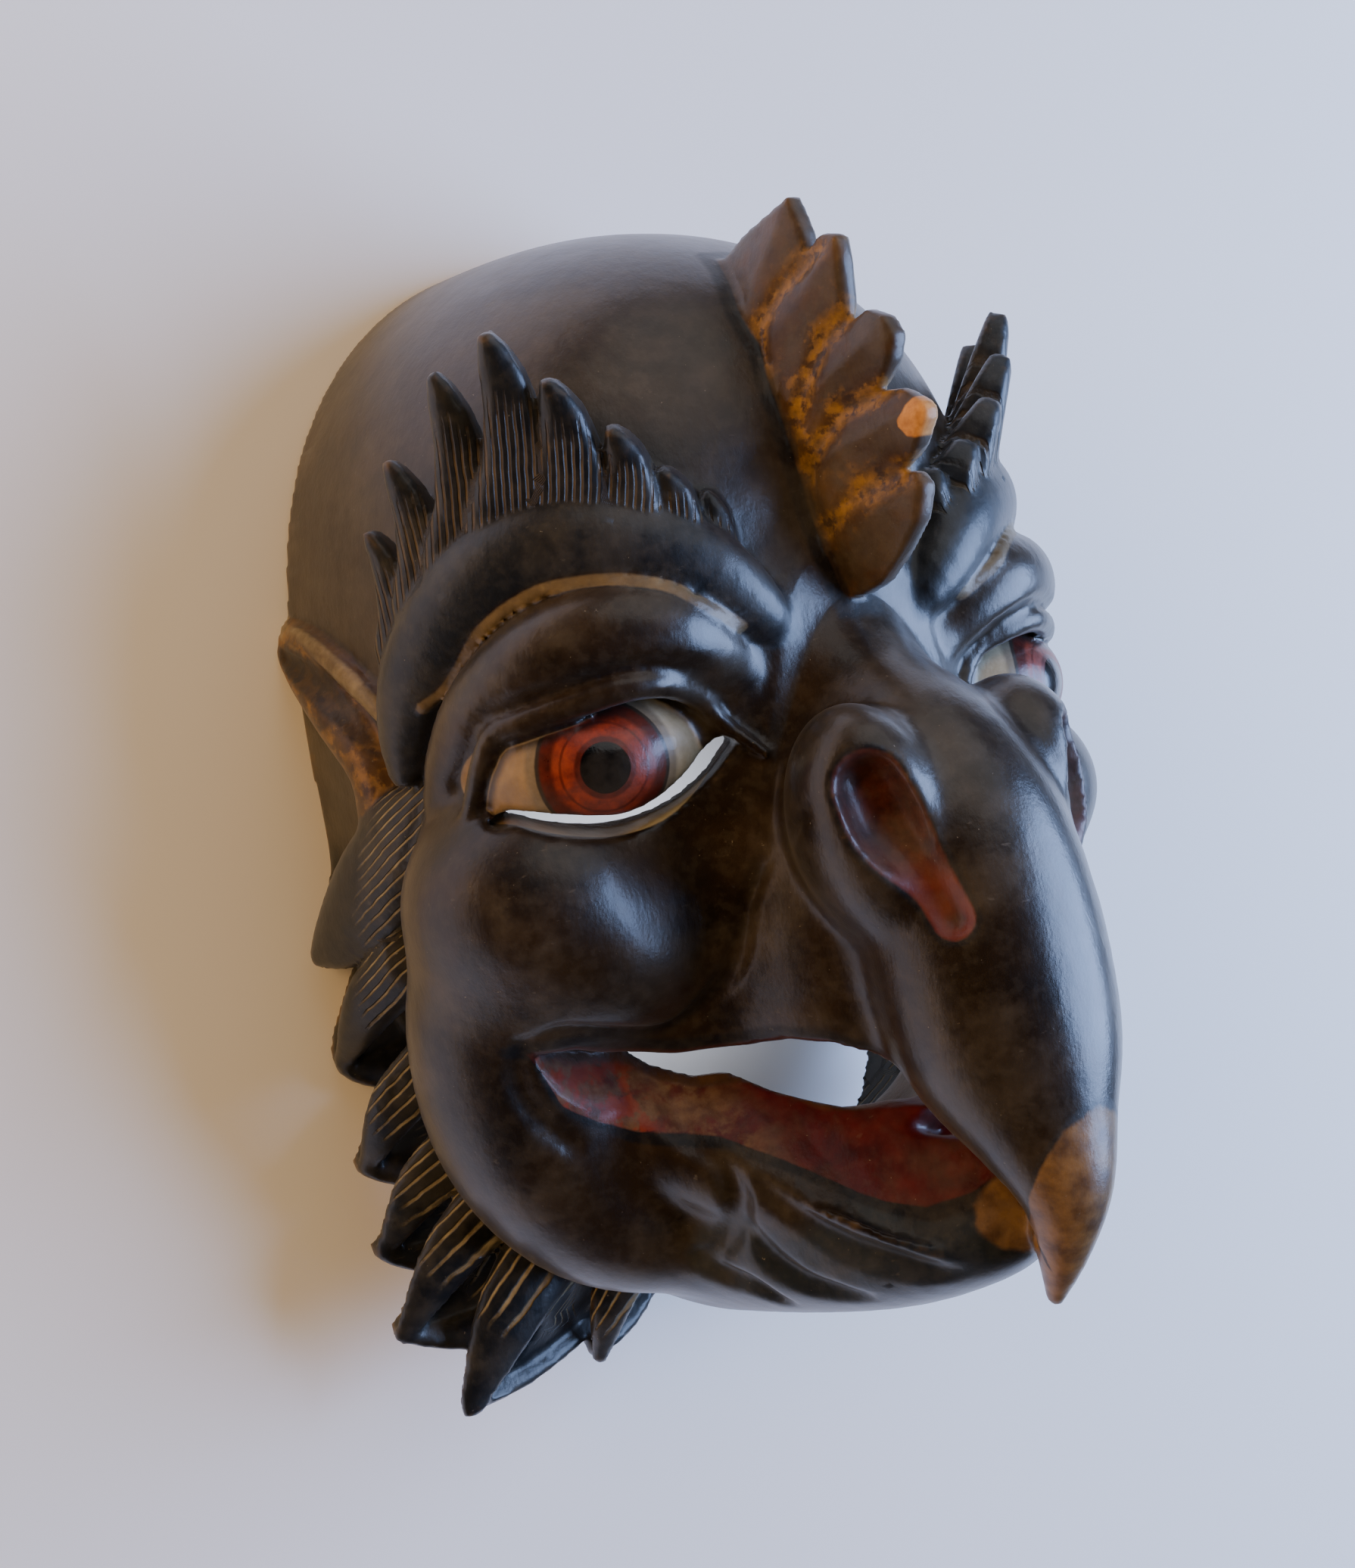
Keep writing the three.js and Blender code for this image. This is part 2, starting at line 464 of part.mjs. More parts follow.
// A little wood is left where cells would meet only at an edge or a corner, so that the skin is one clean sheet.
function closePinches(solid) {
  let changed = true;
  while (changed) {
    changed = false;
    for (let i = 1; i < count.x - 1; i += 1) {
      for (let j = 0; j < count.y - 1; j += 1) {
        for (let k = 0; k < count.z - 1; k += 1) {
          const at = nodeIndex(i, j, k);
          const bits = woodBits(solid, at);
          const pinched = bits === 0 || bits === ALL_WOOD ? null : pinchedCorners(bits);
          if (pinched) {
            const open = pinched.map((corner) => at + CORNER_STEPS[corner]).filter((node) => solid[node] >= 0);
            const nearest = open.reduce((best, node) => (solid[node] < solid[best] ? node : best));
            solid[nearest] = -0.05 * cell;
            changed = true;
          }
        }
      }
    }
  }
  solid.copyWithin(0, nodeIndex(1, 0, 0), nodeIndex(2, 0, 0));
  return solid;
}

// Skin of the carved half: one point in each grid cell that the surface passes through.
function skin(solid) {
  const points = [];
  const pointAt = new Int32Array(count.x * count.y * count.z).fill(-1);
  for (let i = 0; i < count.x - 1; i += 1) {
    for (let j = 0; j < count.y - 1; j += 1) {
      for (let k = 0; k < count.z - 1; k += 1) {
        const bits = woodBits(solid, nodeIndex(i, j, k));
        if (bits === 0 || bits === ALL_WOOD) continue;
        const values = CORNER_STEPS.map((step) => solid[nodeIndex(i, j, k) + step]);
        const middle = new THREE.Vector3();
        let crossings = 0;
        for (const [a, b] of CELL_EDGES) {
          if ((values[a] < 0) !== (values[b] < 0)) {
            const t = values[a] / (values[a] - values[b]);
            middle.x += i + THREE.MathUtils.lerp(CELL_CORNERS[a][0], CELL_CORNERS[b][0], t);
            middle.y += j + THREE.MathUtils.lerp(CELL_CORNERS[a][1], CELL_CORNERS[b][1], t);
            middle.z += k + THREE.MathUtils.lerp(CELL_CORNERS[a][2], CELL_CORNERS[b][2], t);
            crossings += 1;
          }
        }
        middle.multiplyScalar(cell / crossings).add(GRID_LOW);
        if (i === 0) middle.x = 0;
        pointAt[nodeIndex(i, j, k)] = points.length;
        points.push(middle);
      }
    }
  }
  const faces = [];
  const quad = (a, b, c, d, flip) => {
    const [p, q, r, s] = [a, b, c, d].map((cellAt) => pointAt[cellAt]);
    const shortSplit = points[p].distanceToSquared(points[r]) < points[q].distanceToSquared(points[s]);
    const pair = shortSplit ? [[p, q, r], [p, r, s]] : [[p, q, s], [q, r, s]];
    pair.forEach(([u, v, w]) => faces.push(flip ? [u, v, w] : [u, w, v]));
  };
  for (let i = 1; i < count.x - 1; i += 1) {
    for (let j = 1; j < count.y - 1; j += 1) {
      for (let k = 1; k < count.z - 1; k += 1) {
        const here = solid[nodeIndex(i, j, k)] < 0;
        if (here !== solid[nodeIndex(i + 1, j, k)] < 0) {
          quad(nodeIndex(i, j, k), nodeIndex(i, j - 1, k), nodeIndex(i, j - 1, k - 1), nodeIndex(i, j, k - 1), here);
        }
        if (here !== solid[nodeIndex(i, j + 1, k)] < 0) {
          quad(nodeIndex(i, j, k), nodeIndex(i, j, k - 1), nodeIndex(i - 1, j, k - 1), nodeIndex(i - 1, j, k), here);
        }
        if (here !== solid[nodeIndex(i, j, k + 1)] < 0) {
          quad(nodeIndex(i, j, k), nodeIndex(i - 1, j, k), nodeIndex(i - 1, j - 1, k), nodeIndex(i, j - 1, k), here);
        }
      }
    }
  }
  return { points, faces };
}

// Facets: the skin is simplified by folding up the edges whose removal moves the surface least.
class Quadric {
  constructor() {
    this.terms = new Float64Array(10);
  }

  addPlane(normal, offset, weight) {
    const v = [normal.x, normal.y, normal.z, offset];
    let at = 0;
    for (let a = 0; a < 4; a += 1) {
      for (let b = a; b < 4; b += 1) {
        this.terms[at] += v[a] * v[b] * weight;
        at += 1;
      }
    }
  }

  addAll(other) {
    for (let at = 0; at < 10; at += 1) this.terms[at] += other.terms[at];
  }

  error(p) {
    const q = this.terms;
    return q[0] * p.x * p.x + 2 * q[1] * p.x * p.y + 2 * q[2] * p.x * p.z + 2 * q[3] * p.x + q[4] * p.y * p.y
      + 2 * q[5] * p.y * p.z + 2 * q[6] * p.y + q[7] * p.z * p.z + 2 * q[8] * p.z + q[9];
  }

  best() {
    const q = this.terms;
    const matrix = new THREE.Matrix3(q[0], q[1], q[2], q[1], q[4], q[5], q[2], q[5], q[7]);
    const size = q[0] + q[4] + q[7];
    if (Math.abs(matrix.determinant()) < 1e-4 * size ** 3) return null;
    return new THREE.Vector3(-q[3], -q[6], -q[8]).applyMatrix3(matrix.invert());
  }
}

class Heap {
  constructor() {
    this.items = [];
  }

  push(item) {
    const list = this.items;
    list.push(item);
    let at = list.length - 1;
    while (at > 0) {
      const up = (at - 1) >> 1;
      if (list[up].cost <= list[at].cost) break;
      [list[up], list[at]] = [list[at], list[up]];
      at = up;
    }
  }

  pop() {
    const list = this.items;
    const top = list[0];
    const last = list.pop();
    if (list.length > 0) {
      list[0] = last;
      let at = 0;
      for (;;) {
        const left = 2 * at + 1;
        if (left >= list.length) break;
        const right = left + 1;
        const down = right < list.length && list[right].cost < list[left].cost ? right : left;
        if (list[at].cost <= list[down].cost) break;
        [list[at], list[down]] = [list[down], list[at]];
        at = down;
      }
    }
    return top;
  }
}

function facePlane(points, face) {
  const [a, b, c] = face.map((index) => points[index]);
  const normal = new THREE.Vector3().crossVectors(b.clone().sub(a), c.clone().sub(a));
  const area = normal.length() / 2;
  normal.normalize();
  return { normal, area, offset: -normal.dot(a) };
}

function simplify({ points, faces }, target) {
  const around = points.map(() => new Set());
  const quadrics = points.map(() => new Quadric());
  const stamp = new Int32Array(points.length);
  const onMiddle = points.map((point) => point.x === 0);
  const mirror = new THREE.Vector3(-1, 1, 1);
  faces.forEach((face, at) => {
    const { normal, area, offset } = facePlane(points, face);
    for (const index of face) {
      around[index].add(at);
      quadrics[index].addPlane(normal, offset, area);
      if (onMiddle[index]) quadrics[index].addPlane(normal.clone().multiply(mirror), offset, area);
    }
  });
  const neighbours = (index) => {
    const found = new Set();
    for (const at of around[index]) faces[at].forEach((other) => found.add(other));
    found.delete(index);
    return found;
  };
  const heap = new Heap();
  const offer = (u, v) => {
    const joined = new Quadric();
    joined.addAll(quadrics[u]);
    joined.addAll(quadrics[v]);
    const choices = [points[u], points[v], points[u].clone().lerp(points[v], 0.5)];
    const best = joined.best();
    if (best && best.distanceTo(choices[2]) < 3 * points[u].distanceTo(points[v])) choices.push(best);
    let place = null;
    let cost = Infinity;
    for (const choice of choices) {
      const spot = choice.clone();
      if (onMiddle[u] || onMiddle[v]) spot.x = 0;
      const error = joined.error(spot);
      if (error < cost) {
        cost = error;
        place = spot;
      }
    }
    const lengthCost = 1e-4 * points[u].distanceToSquared(points[v]);
    heap.push({ cost: cost + lengthCost, u, v, place, stampU: stamp[u], stampV: stamp[v] });
  };
  points.forEach((point, u) => neighbours(u).forEach((v) => {
    if (u < v) offer(u, v);
  }));
  let alive = faces.length;
  while (alive > target && heap.items.length > 0) {
    const { u, v, place, stampU, stampV } = heap.pop();
    if (stamp[u] !== stampU || stamp[v] !== stampV) continue;
    const shared = [...around[u]].filter((at) => around[v].has(at));
    const common = [...neighbours(u)].filter((index) => neighbours(v).has(index));
    const seam = onMiddle[u] && onMiddle[v];
    if (shared.length !== (seam ? 1 : 2) || common.length !== shared.length) continue;
    const inner = onMiddle[u] ? v : u;
    const strays = !seam && (onMiddle[u] || onMiddle[v])
      && [...neighbours(inner)].some((index) => onMiddle[index] && index !== u + v - inner && !common.includes(index));
    if (strays) continue;
    const moved = [...around[u], ...around[v]].filter((at) => !shared.includes(at));
    const turned = moved.some((at) => {
      const before = facePlane(points, faces[at]);
      const [a, b, c] = faces[at].map((index) => (index === u || index === v ? place : points[index]));
      const normal = new THREE.Vector3().crossVectors(b.clone().sub(a), c.clone().sub(a));
      const longest = Math.max(a.distanceToSquared(b), b.distanceToSquared(c), c.distanceToSquared(a));
      const area = normal.length();
      return area < 0.12 * longest || normal.dot(before.normal) < 0.35 * area;
    });
    if (turned) continue;
    points[u] = place;
    quadrics[u].addAll(quadrics[v]);
    onMiddle[u] = onMiddle[u] || onMiddle[v];
    shared.forEach((at) => {
      faces[at].forEach((index) => around[index].delete(at));
      faces[at] = null;
      alive -= 1;
    });
    [...around[v]].forEach((at) => {
      faces[at] = faces[at].map((index) => (index === v ? u : index));
      around[u].add(at);
    });
    around[v].clear();
    stamp[u] += 1;
    stamp[v] = -1;
    neighbours(u).forEach((index) => {
      stamp[index] += 1;
    });
    const ring = neighbours(u);
    ring.forEach((index) => {
      neighbours(index).forEach((other) => {
        if (other !== u && (!ring.has(other) || index < other)) offer(index, other);
      });
      offer(u, index);
    });
  }
  return { points, faces: faces.filter((face) => face !== null) };
}

// Both halves as one closed mesh, at full size.
function mirrored({ points, faces }) {
  const corners = [];
  for (const face of faces) {
    face.forEach((index) => corners.push(points[index].x, points[index].y, points[index].z));
    [face[0], face[2], face[1]].forEach((index) => corners.push(-points[index].x, points[index].y, points[index].z));
  }
  const geometry = new THREE.BufferGeometry();
  geometry.setAttribute("position", new THREE.Float32BufferAttribute(corners, 3));
  return geometry.scale(share, share, share);
}

function closedSolid(geometry) {
  const bare = geometry.clone();
  bare.deleteAttribute("normal");
  bare.deleteAttribute("uv");
  const merged = mergeVertices(bare, 1e-4);
  return new wasm.Manifold(new wasm.Mesh({
    numProp: 3,
    vertProperties: new Float32Array(merged.attributes.position.array),
    triVerts: new Uint32Array(merged.index.array),
  }));
}

// The saw cuts of the back rim: a flat bed behind the head and a rising slope behind the jaw.
function rimCuts() {
  const size = 2 * MASK_HEIGHT;
  const bed = new THREE.BoxGeometry(size, size, size).translate(0, 0, -size / 2);
  const slope = new THREE.BoxGeometry(size, size, size).translate(0, -size / 2, -size / 2)
    .rotateX(-Math.atan(JAW_RIM_SLOPE)).translate(0, JAW_RIM_START * share, 0);
  return [bed, slope];
}

function buildMask() {
  const half = simplify(skin(closePinches(carve())), FACET_COUNT / 2);
  let solid = closedSolid(mirrored(half));
  for (const sawCut of rimCuts()) solid = solid.subtract(closedSolid(sawCut));
  const mesh = solid.simplify(FACET_SLACK).getMesh();
  const geometry = new THREE.BufferGeometry();
  geometry.setAttribute("position", new THREE.BufferAttribute(new Float32Array(mesh.vertProperties), 3));
  geometry.setIndex(new THREE.BufferAttribute(new Uint32Array(mesh.triVerts), 1));
  geometry.computeBoundingBox();
  const middle = geometry.boundingBox.getCenter(new THREE.Vector3());
  geometry.translate(0, -middle.y, 0);
  geometry.computeVertexNormals();
  const wood = new THREE.MeshStandardMaterial({ color: WOOD_COLOUR, roughness: 0.42, metalness: 0 });
  const mask = new THREE.Mesh(geometry, wood);
  mask.name = "mask";
  return mask;
}

const group = new THREE.Group();
group.name = "bird_mask";
group.add(buildMask());

export default group;
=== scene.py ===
"""A bird-faced mask carved from one block of wood, lacquered, painted and worn, lying on its back rim.

The form is a field of signed distances in millimetres, meshed finely for the carving, and dressed with one
layered paint finish and the bare wood of the hollow.
"""

from __future__ import annotations

import logging
import math
from dataclasses import dataclass
from enum import Enum
from typing import Protocol, Sequence

import bpy
import numpy as np
from mathutils import Matrix, Vector

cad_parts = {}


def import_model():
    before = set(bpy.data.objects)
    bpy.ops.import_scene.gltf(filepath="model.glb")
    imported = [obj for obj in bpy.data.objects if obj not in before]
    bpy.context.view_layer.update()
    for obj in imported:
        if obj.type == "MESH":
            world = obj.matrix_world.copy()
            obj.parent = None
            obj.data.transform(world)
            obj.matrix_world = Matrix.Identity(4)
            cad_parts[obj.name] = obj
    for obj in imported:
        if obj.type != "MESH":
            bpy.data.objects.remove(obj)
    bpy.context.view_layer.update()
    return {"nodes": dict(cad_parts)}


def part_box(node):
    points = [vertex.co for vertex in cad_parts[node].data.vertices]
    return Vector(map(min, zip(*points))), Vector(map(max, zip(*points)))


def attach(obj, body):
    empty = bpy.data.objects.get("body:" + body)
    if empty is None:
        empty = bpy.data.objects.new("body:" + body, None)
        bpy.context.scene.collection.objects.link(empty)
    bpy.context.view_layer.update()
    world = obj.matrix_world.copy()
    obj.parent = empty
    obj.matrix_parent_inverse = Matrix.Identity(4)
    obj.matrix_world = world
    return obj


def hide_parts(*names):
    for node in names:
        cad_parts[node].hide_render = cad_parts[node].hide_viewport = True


LOG = logging.getLogger("bird_mask")
MM = 0.001
Array = np.ndarray
F32 = np.float32
Socket = bpy.types.NodeSocket
Point = Sequence[float]
# A distance that any real one is smaller than, and the field where nothing is carved yet, in mm.
FAR = F32(1e9)
EMPTY = F32(50)


def smooth_union(a: Array, b: Array, blend: float) -> Array:
    """Joins two distance fields with a soft seam.

    Args:
        a: First field.
        b: Second field.
        blend: Width of the soft seam in mm.

    Returns:
        The joined field.
    """
    if blend <= 0:
        return np.minimum(a, b)
    mix = np.clip(0.5 + 0.5 * (b - a) / F32(blend), 0, 1)
    return b + (a - b) * mix - F32(blend) * mix * (1 - mix)


def smooth_overlap(a: Array, b: Array, blend: float) -> Array:
    """Keeps what two distance fields share, with a soft edge.

    Args:
        a: First field.
        b: Second field.
        blend: Width of the soft edge in mm.

    Returns:
        The shared field.
    """
    return -smooth_union(-a, -b, blend)


def catmull(rows: Sequence[Point], pieces: int) -> Array:
    """Points along a uniform Catmull-Rom curve through rows, end tangents carried straight on.

    Args:
        rows: Control rows of any width.
        pieces: Number of straight pieces.

    Returns:
        pieces + 1 rows along the curve.
    """
    pts = np.asarray(rows, float)
    ends = np.vstack([2 * pts[0] - pts[1], pts, 2 * pts[-1] - pts[-2]])
    out = []
    for t in np.linspace(0, len(pts) - 1, pieces + 1):
        i = min(int(t), len(pts) - 2)
        u = t - i
        a, b, c, d = ends[i : i + 4]
        bend = (2 * a - 5 * b + 4 * c - d) * u * u
        twist = (3 * b - a - 3 * c + d) * u**3
        out.append(0.5 * (2 * b + (c - a) * u + bend + twist))
    return np.array(out)


def unit(vector: Point) -> Array:
    """A vector of length one.

    Args:
        vector: Any vector that isn't zero.

    Returns:
        The vector scaled to length one.
    """
    v = np.asarray(vector, float)
    return v / np.linalg.norm(v)


class Shape(Protocol):
    """Anything that has a signed distance and a box that bounds it."""

    low: Array
    high: Array

    def distance(self, p: Array) -> Array:
        """Signed distance at points p, negative inside."""


class Roll:
    """A rounded roll along a curve; rows hold x, y, z and the radius."""

    def __init__(
        self,
        rows: Sequence[Point],
        pieces: int,
        normal: Point | None = None,
        stretch: float = 1.0,
    ) -> None:
        """Lays the roll's curve.

        Args:
            rows: Control rows x, y, z, radius in mm.
            pieces: Straight pieces along the curve.
            normal: Direction in which the section is stretched.
            stretch: How much longer the section is along normal.
        """
        self.line = catmull(rows, pieces).astype(F32)
        self.normal = None if normal is None else unit(normal).astype(F32)
        self.squeeze = F32(1 / stretch - 1)
        reach = self.line[:, 3:4] * max(1.0, stretch)
        self.low = (self.line[:, :3] - reach).min(0)
        self.high = (self.line[:, :3] + reach).max(0)

    def measure(self, p: Array) -> tuple[Array, Array]:
        """Distance to the roll and the share of its length where the nearest point lies.

        Args:
            p: Points, n by 3, in mm.

        Returns:
            Signed distances, and positions from 0 at the first row to 1 at the last.
        """
        best = np.full(len(p), FAR)
        where = np.zeros(len(p), F32)
        count = len(self.line) - 1
        for i in range(count):
            start, end = self.line[i], self.line[i + 1]
            along = end[:3] - start[:3]
            rel = p - start[:3]
            if self.normal is not None:
                rel = rel + (rel @ self.normal * self.squeeze)[:, None] * self.normal
                along = along + (along @ self.normal * self.squeeze) * self.normal
            t = np.clip(rel @ along / max(float(along @ along), 1e-9), 0, 1)
            rel = rel - t[:, None] * along
            gap = np.sqrt(np.einsum("ij,ij->i", rel, rel)) - (start[3] + t * (end[3] - start[3]))
            nearer = gap < best
            best = np.where(nearer, gap, best)
            where = np.where(nearer, (i + t) / count, where)
        return best.astype(F32), where.astype(F32)

    def distance(self, p: Array) -> Array:
        """Signed distance at points p, negative inside.

        Args:
            p: Points, n by 3, in mm.

        Returns:
            Signed distances in mm.
        """
        return self.measure(p)[0]


class Ellipsoid:
    """An egg with three radii, turned about its middle."""

    def __init__(
        self, centre: Point, radii: Point, turn: Point = (0, 0, 0)
    ) -> None:
        """Places the egg.

        Args:
            centre: Middle point in mm.
            radii: Three radii in mm.
            turn: Turns about X, Y and Z in degrees, applied in that order.
        """
        x, y, z = (Matrix.Rotation(math.radians(a), 3, n) for a, n in zip(turn, "XYZ"))
        self.turn = np.array(z @ y @ x, F32)
        self.centre = np.array(centre, F32)
        self.radii = np.array(radii, F32)
        reach = np.abs(self.turn) @ self.radii
        self.low, self.high = self.centre - reach, self.centre + reach

    def local(self, p: Array) -> Array:
        """Points in the egg's own turned axes.

        Args:
            p: Points, n by 3, in mm.

        Returns:
            The same points seen from the egg's middle.
        """
        return (p - self.centre) @ self.turn

    def distance(self, p: Array) -> Array:
        """Signed distance at points p, negative inside.

        Args:
            p: Points, n by 3, in mm.

        Returns:
            Signed distances in mm.
        """
        q = self.local(p) / self.radii
        near = np.sqrt((q * q).sum(1)) + F32(1e-6)
        q = q / self.radii
        return near * (near - 1) / (np.sqrt((q * q).sum(1)) + F32(1e-6))


class Outline:
    """A closed outline in a plane with signed distances, negative inside."""

    def __init__(self, corners: Sequence[Point]) -> None:
        """Keeps the corners.

        Args:
            corners: Points around the outline.
        """
        self.corners = np.asarray(corners, float).astype(F32)

    def distance(self, x: Array, y: Array) -> Array:
        """Signed distance in the plane.

        Args:
            x: First coordinates.
            y: Second coordinates.

        Returns:
            Distances, negative inside.
        """
        square = np.full(len(x), FAR)
        inside = np.zeros(len(x), bool)
        for a, b in zip(self.corners, np.roll(self.corners, -1, axis=0)):
            ex, ey = b - a
            wx, wy = x - a[0], y - a[1]
            t = np.clip((wx * ex + wy * ey) / (ex * ex + ey * ey + F32(1e-12)), 0, 1)
            square = np.minimum(square, (wx - ex * t) ** 2 + (wy - ey * t) ** 2)
            spans = (a[1] > y) != (b[1] > y)
            if abs(ey) > 1e-12:
                inside ^= spans & (x < a[0] + wy * ex / ey)
        return np.where(inside, -np.sqrt(square), np.sqrt(square)).astype(F32)


@dataclass
class Skull:
    """Half a rounded egg that stands straight on the rim."""

    half_width: float = 64
    crown: float = 74
    chin: float = 136
    depth: float = 87
    middle: float = 30
    roundness: float = 2.2
    flatness: float = 3

    def __post_init__(self) -> None:
        """Works out the box."""
        self.low = np.array([-self.half_width, self.middle - self.chin, -30])
        self.high = np.array([self.half_width, self.middle + self.crown, self.depth])

    def distance(self, p: Array) -> Array:
        """Signed distance at points p, negative inside.

        Args:
            p: Points, n by 3, in mm.

        Returns:
            Signed distances in mm.
        """
        rise = np.maximum(p[:, 2], 0)
        v = p[:, 1] - F32(self.middle)
        reach = np.where(v > 0, F32(self.crown), F32(self.chin))
        over_x, over_y = np.abs(p[:, 0] / self.half_width), np.abs(v / reach)
        ring = (over_x**self.roundness + over_y**self.roundness) ** (1 / self.roundness)
        size = (ring**self.flatness + (rise / self.depth) ** self.flatness) ** (1 / self.flatness) + 1e-4
        return (np.sqrt(p[:, 0] ** 2 + v * v + rise * rise) * (1 - 1 / size)).astype(F32)


LEAF_OUTLINE = (
    (-0.52, -0.3), (-0.6, 0.1), (-0.52, 0.38), (-0.4, 0.62), (-0.27, 0.81), (-0.09, 0.95), (0.07, 1.02),
    (0.2, 1), (0.2, 0.86), (0.15, 0.6), (0.19, 0.3), (0.38, 0), (0.38, -0.3),
)


class BrowLeaf:
    """One feather of the brow: full outer edge, hollow inner edge, thick along its normal.

    Its face and its back stand off its middle plane by so many mm at the root and at the tip.
    """

    FACE = (3.3, 1.1)
    BACK = (9, 4.5)
    EDGE_DROP = 0.8
    LEAN = 0.13

    def __init__(self, root: Point, tip: Point, width: float) -> None:
        """Places the feather.

        Args:
            root: Middle of its root in mm.
            tip: Its tip in mm.
            width: Width at the root in mm.
        """
        base, end = np.array(root, float), np.array(tip, float)
        self.length = float(np.linalg.norm(end - base))
        along = unit(end - base)
        facing = unit((base[0] * 0.9, (base[1] - 20) * 0.35, base[2] * 0.75))
        facing = facing + 0.9 * unit((0.5, -0.12, 0.85))
        out = unit(facing - (facing @ along) * along)
        across = np.cross(along, out)
        self.base = base.astype(F32)
        self.axes = np.stack([across, along, out], 1).astype(F32)
        self.width = width
        self.edge = Outline([(u * width, v * self.length) for u, v in LEAF_OUTLINE])
        flat = [base + across * u * width + along * v * self.length for u, v in LEAF_OUTLINE]
        corners = np.array([spot + out * k for spot in flat for k in (-self.BACK[0], 3.5)])
        self.low, self.high = corners.min(0), corners.max(0)

    def local(self, p: Array) -> Array:
        """Points in the feather's own axes: across, along and out.

        Args:
            p: Points, n by 3, in mm.

        Returns:
            The same points seen from the feather's root.
        """
        return (p - self.base) @ self.axes

    def distance(self, p: Array) -> Array:
        """Signed distance at points p, negative inside.

        Args:
            p: Points, n by 3, in mm.

        Returns:
            Signed distances in mm.
        """
        u, v, k = self.local(p).T
        side = self.edge.distance(u, v)
        t = np.clip(v / self.length, 0, 1)
        face = self.FACE[0] * (1 - t) + self.FACE[1] * t
        face = face - self.EDGE_DROP * np.clip(1 + side / 2, 0, 1) - self.LEAN * (u + self.width / 2)
        back = self.BACK[0] * (1 - t) + self.BACK[1] * t
        return smooth_overlap(smooth_overlap(side, k - face, 0.8), -(k + back), 1).astype(F32)


RIM_BREAK_Y = -40
RIM_SLOPE = 0.45


def rim_height(y: Array) -> Array:
    """Height of the back rim: flat behind the head, a rising slope behind the jaw.

    Args:
        y: Positions in mm.

    Returns:
        Heights in mm.
    """
    return (RIM_SLOPE * np.maximum(RIM_BREAK_Y - y, 0)).astype(F32)


class MouthGap:
    """The open mouth between the beak's lower edge and the lip."""

    LIP = np.array([
        (0, -71.5, 119), (6, -70.5, 112), (12, -71, 104.5), (16, -69.5, 98.5), (20, -67.5, 93),
        (25, -63.5, 86), (30, -60.5, 79), (36, -58.5, 72.5), (43, -56, 68.5), (50, -52, 67.5),
        (56, -47.7, 67.5), (59, -43.5, 67.5), (61, -40, 67.5), (63, -36, 66),
    ])
    BEAK = np.array([
        (52, -43.3), (72, -43.3), (79, -43), (88, -41.5), (95, -42), (100, -45), (104.5, -48.7), (110, -55),
        (119, -66.5), (123, -84), (126, -100),
    ])
    CORNER_LIFT = np.array([(0, 0), (36, 0), (48, 2.8), (54, 5), (60, 5.3)])
    SLOPE = np.array([(0, 0.9), (30, 0.9), (40, 1.4), (60, 2.2)])
    low = np.array([-66, -100, 40])
    high = np.array([66, -30, 130])

    def parts(self, p: Array) -> tuple[Array, Array]:
        """How far points lie above the beak's edge and below the lip.

        Args:
            p: Points, n by 3, in mm.

        Returns:
            Height over the upper edge, and depth under the lip's slope.
        """
        side = np.abs(p[:, 0])
        top = np.interp(p[:, 2], *self.BEAK.T) + np.interp(side, *self.CORNER_LIFT.T)
        inward = np.interp(side, self.LIP[:, 0], self.LIP[:, 2]) - p[:, 2]
        lip = np.interp(side, self.LIP[:, 0], self.LIP[:, 1]) + np.clip(
            inward * np.interp(side, *self.SLOPE.T), -6, 14
        )
        return p[:, 1] - top, lip - p[:, 1]

    def distance(self, p: Array) -> Array:
        """Signed distance at points p, negative inside.

        Args:
            p: Points, n by 3, in mm.

        Returns:
            Signed distances in mm.
        """
        above, below = self.parts(p)
        gap = smooth_overlap(above * 0.85, below * 0.7, 1.5)
        ends = smooth_overlap(48 - p[:, 2], np.abs(p[:, 0]) - 62.5, 1)
        return smooth_overlap(gap, ends, 1).astype(F32)


RUFF_FEATHERS = (
    ((68.9, -24.1), (69.1, -28.5), (61.6, -29.1)),
    ((69.5, -43.9), (70.9, -49.6), (61.7, -52.4)),
    ((72.1, -63.2), (73, -66.8), (61.8, -70.4)),
    ((73.9, -77.7), (74.6, -81), (65.3, -84.6)),
    ((75.2, -91.6), (75.6, -94.9), (62.1, -99)),
    ((67.2, -107.9), (57.3, -110), (39.2, -104.3)),
    ((38.8, -107.8), (29.8, -107.4), (22.2, -101.5)),
)


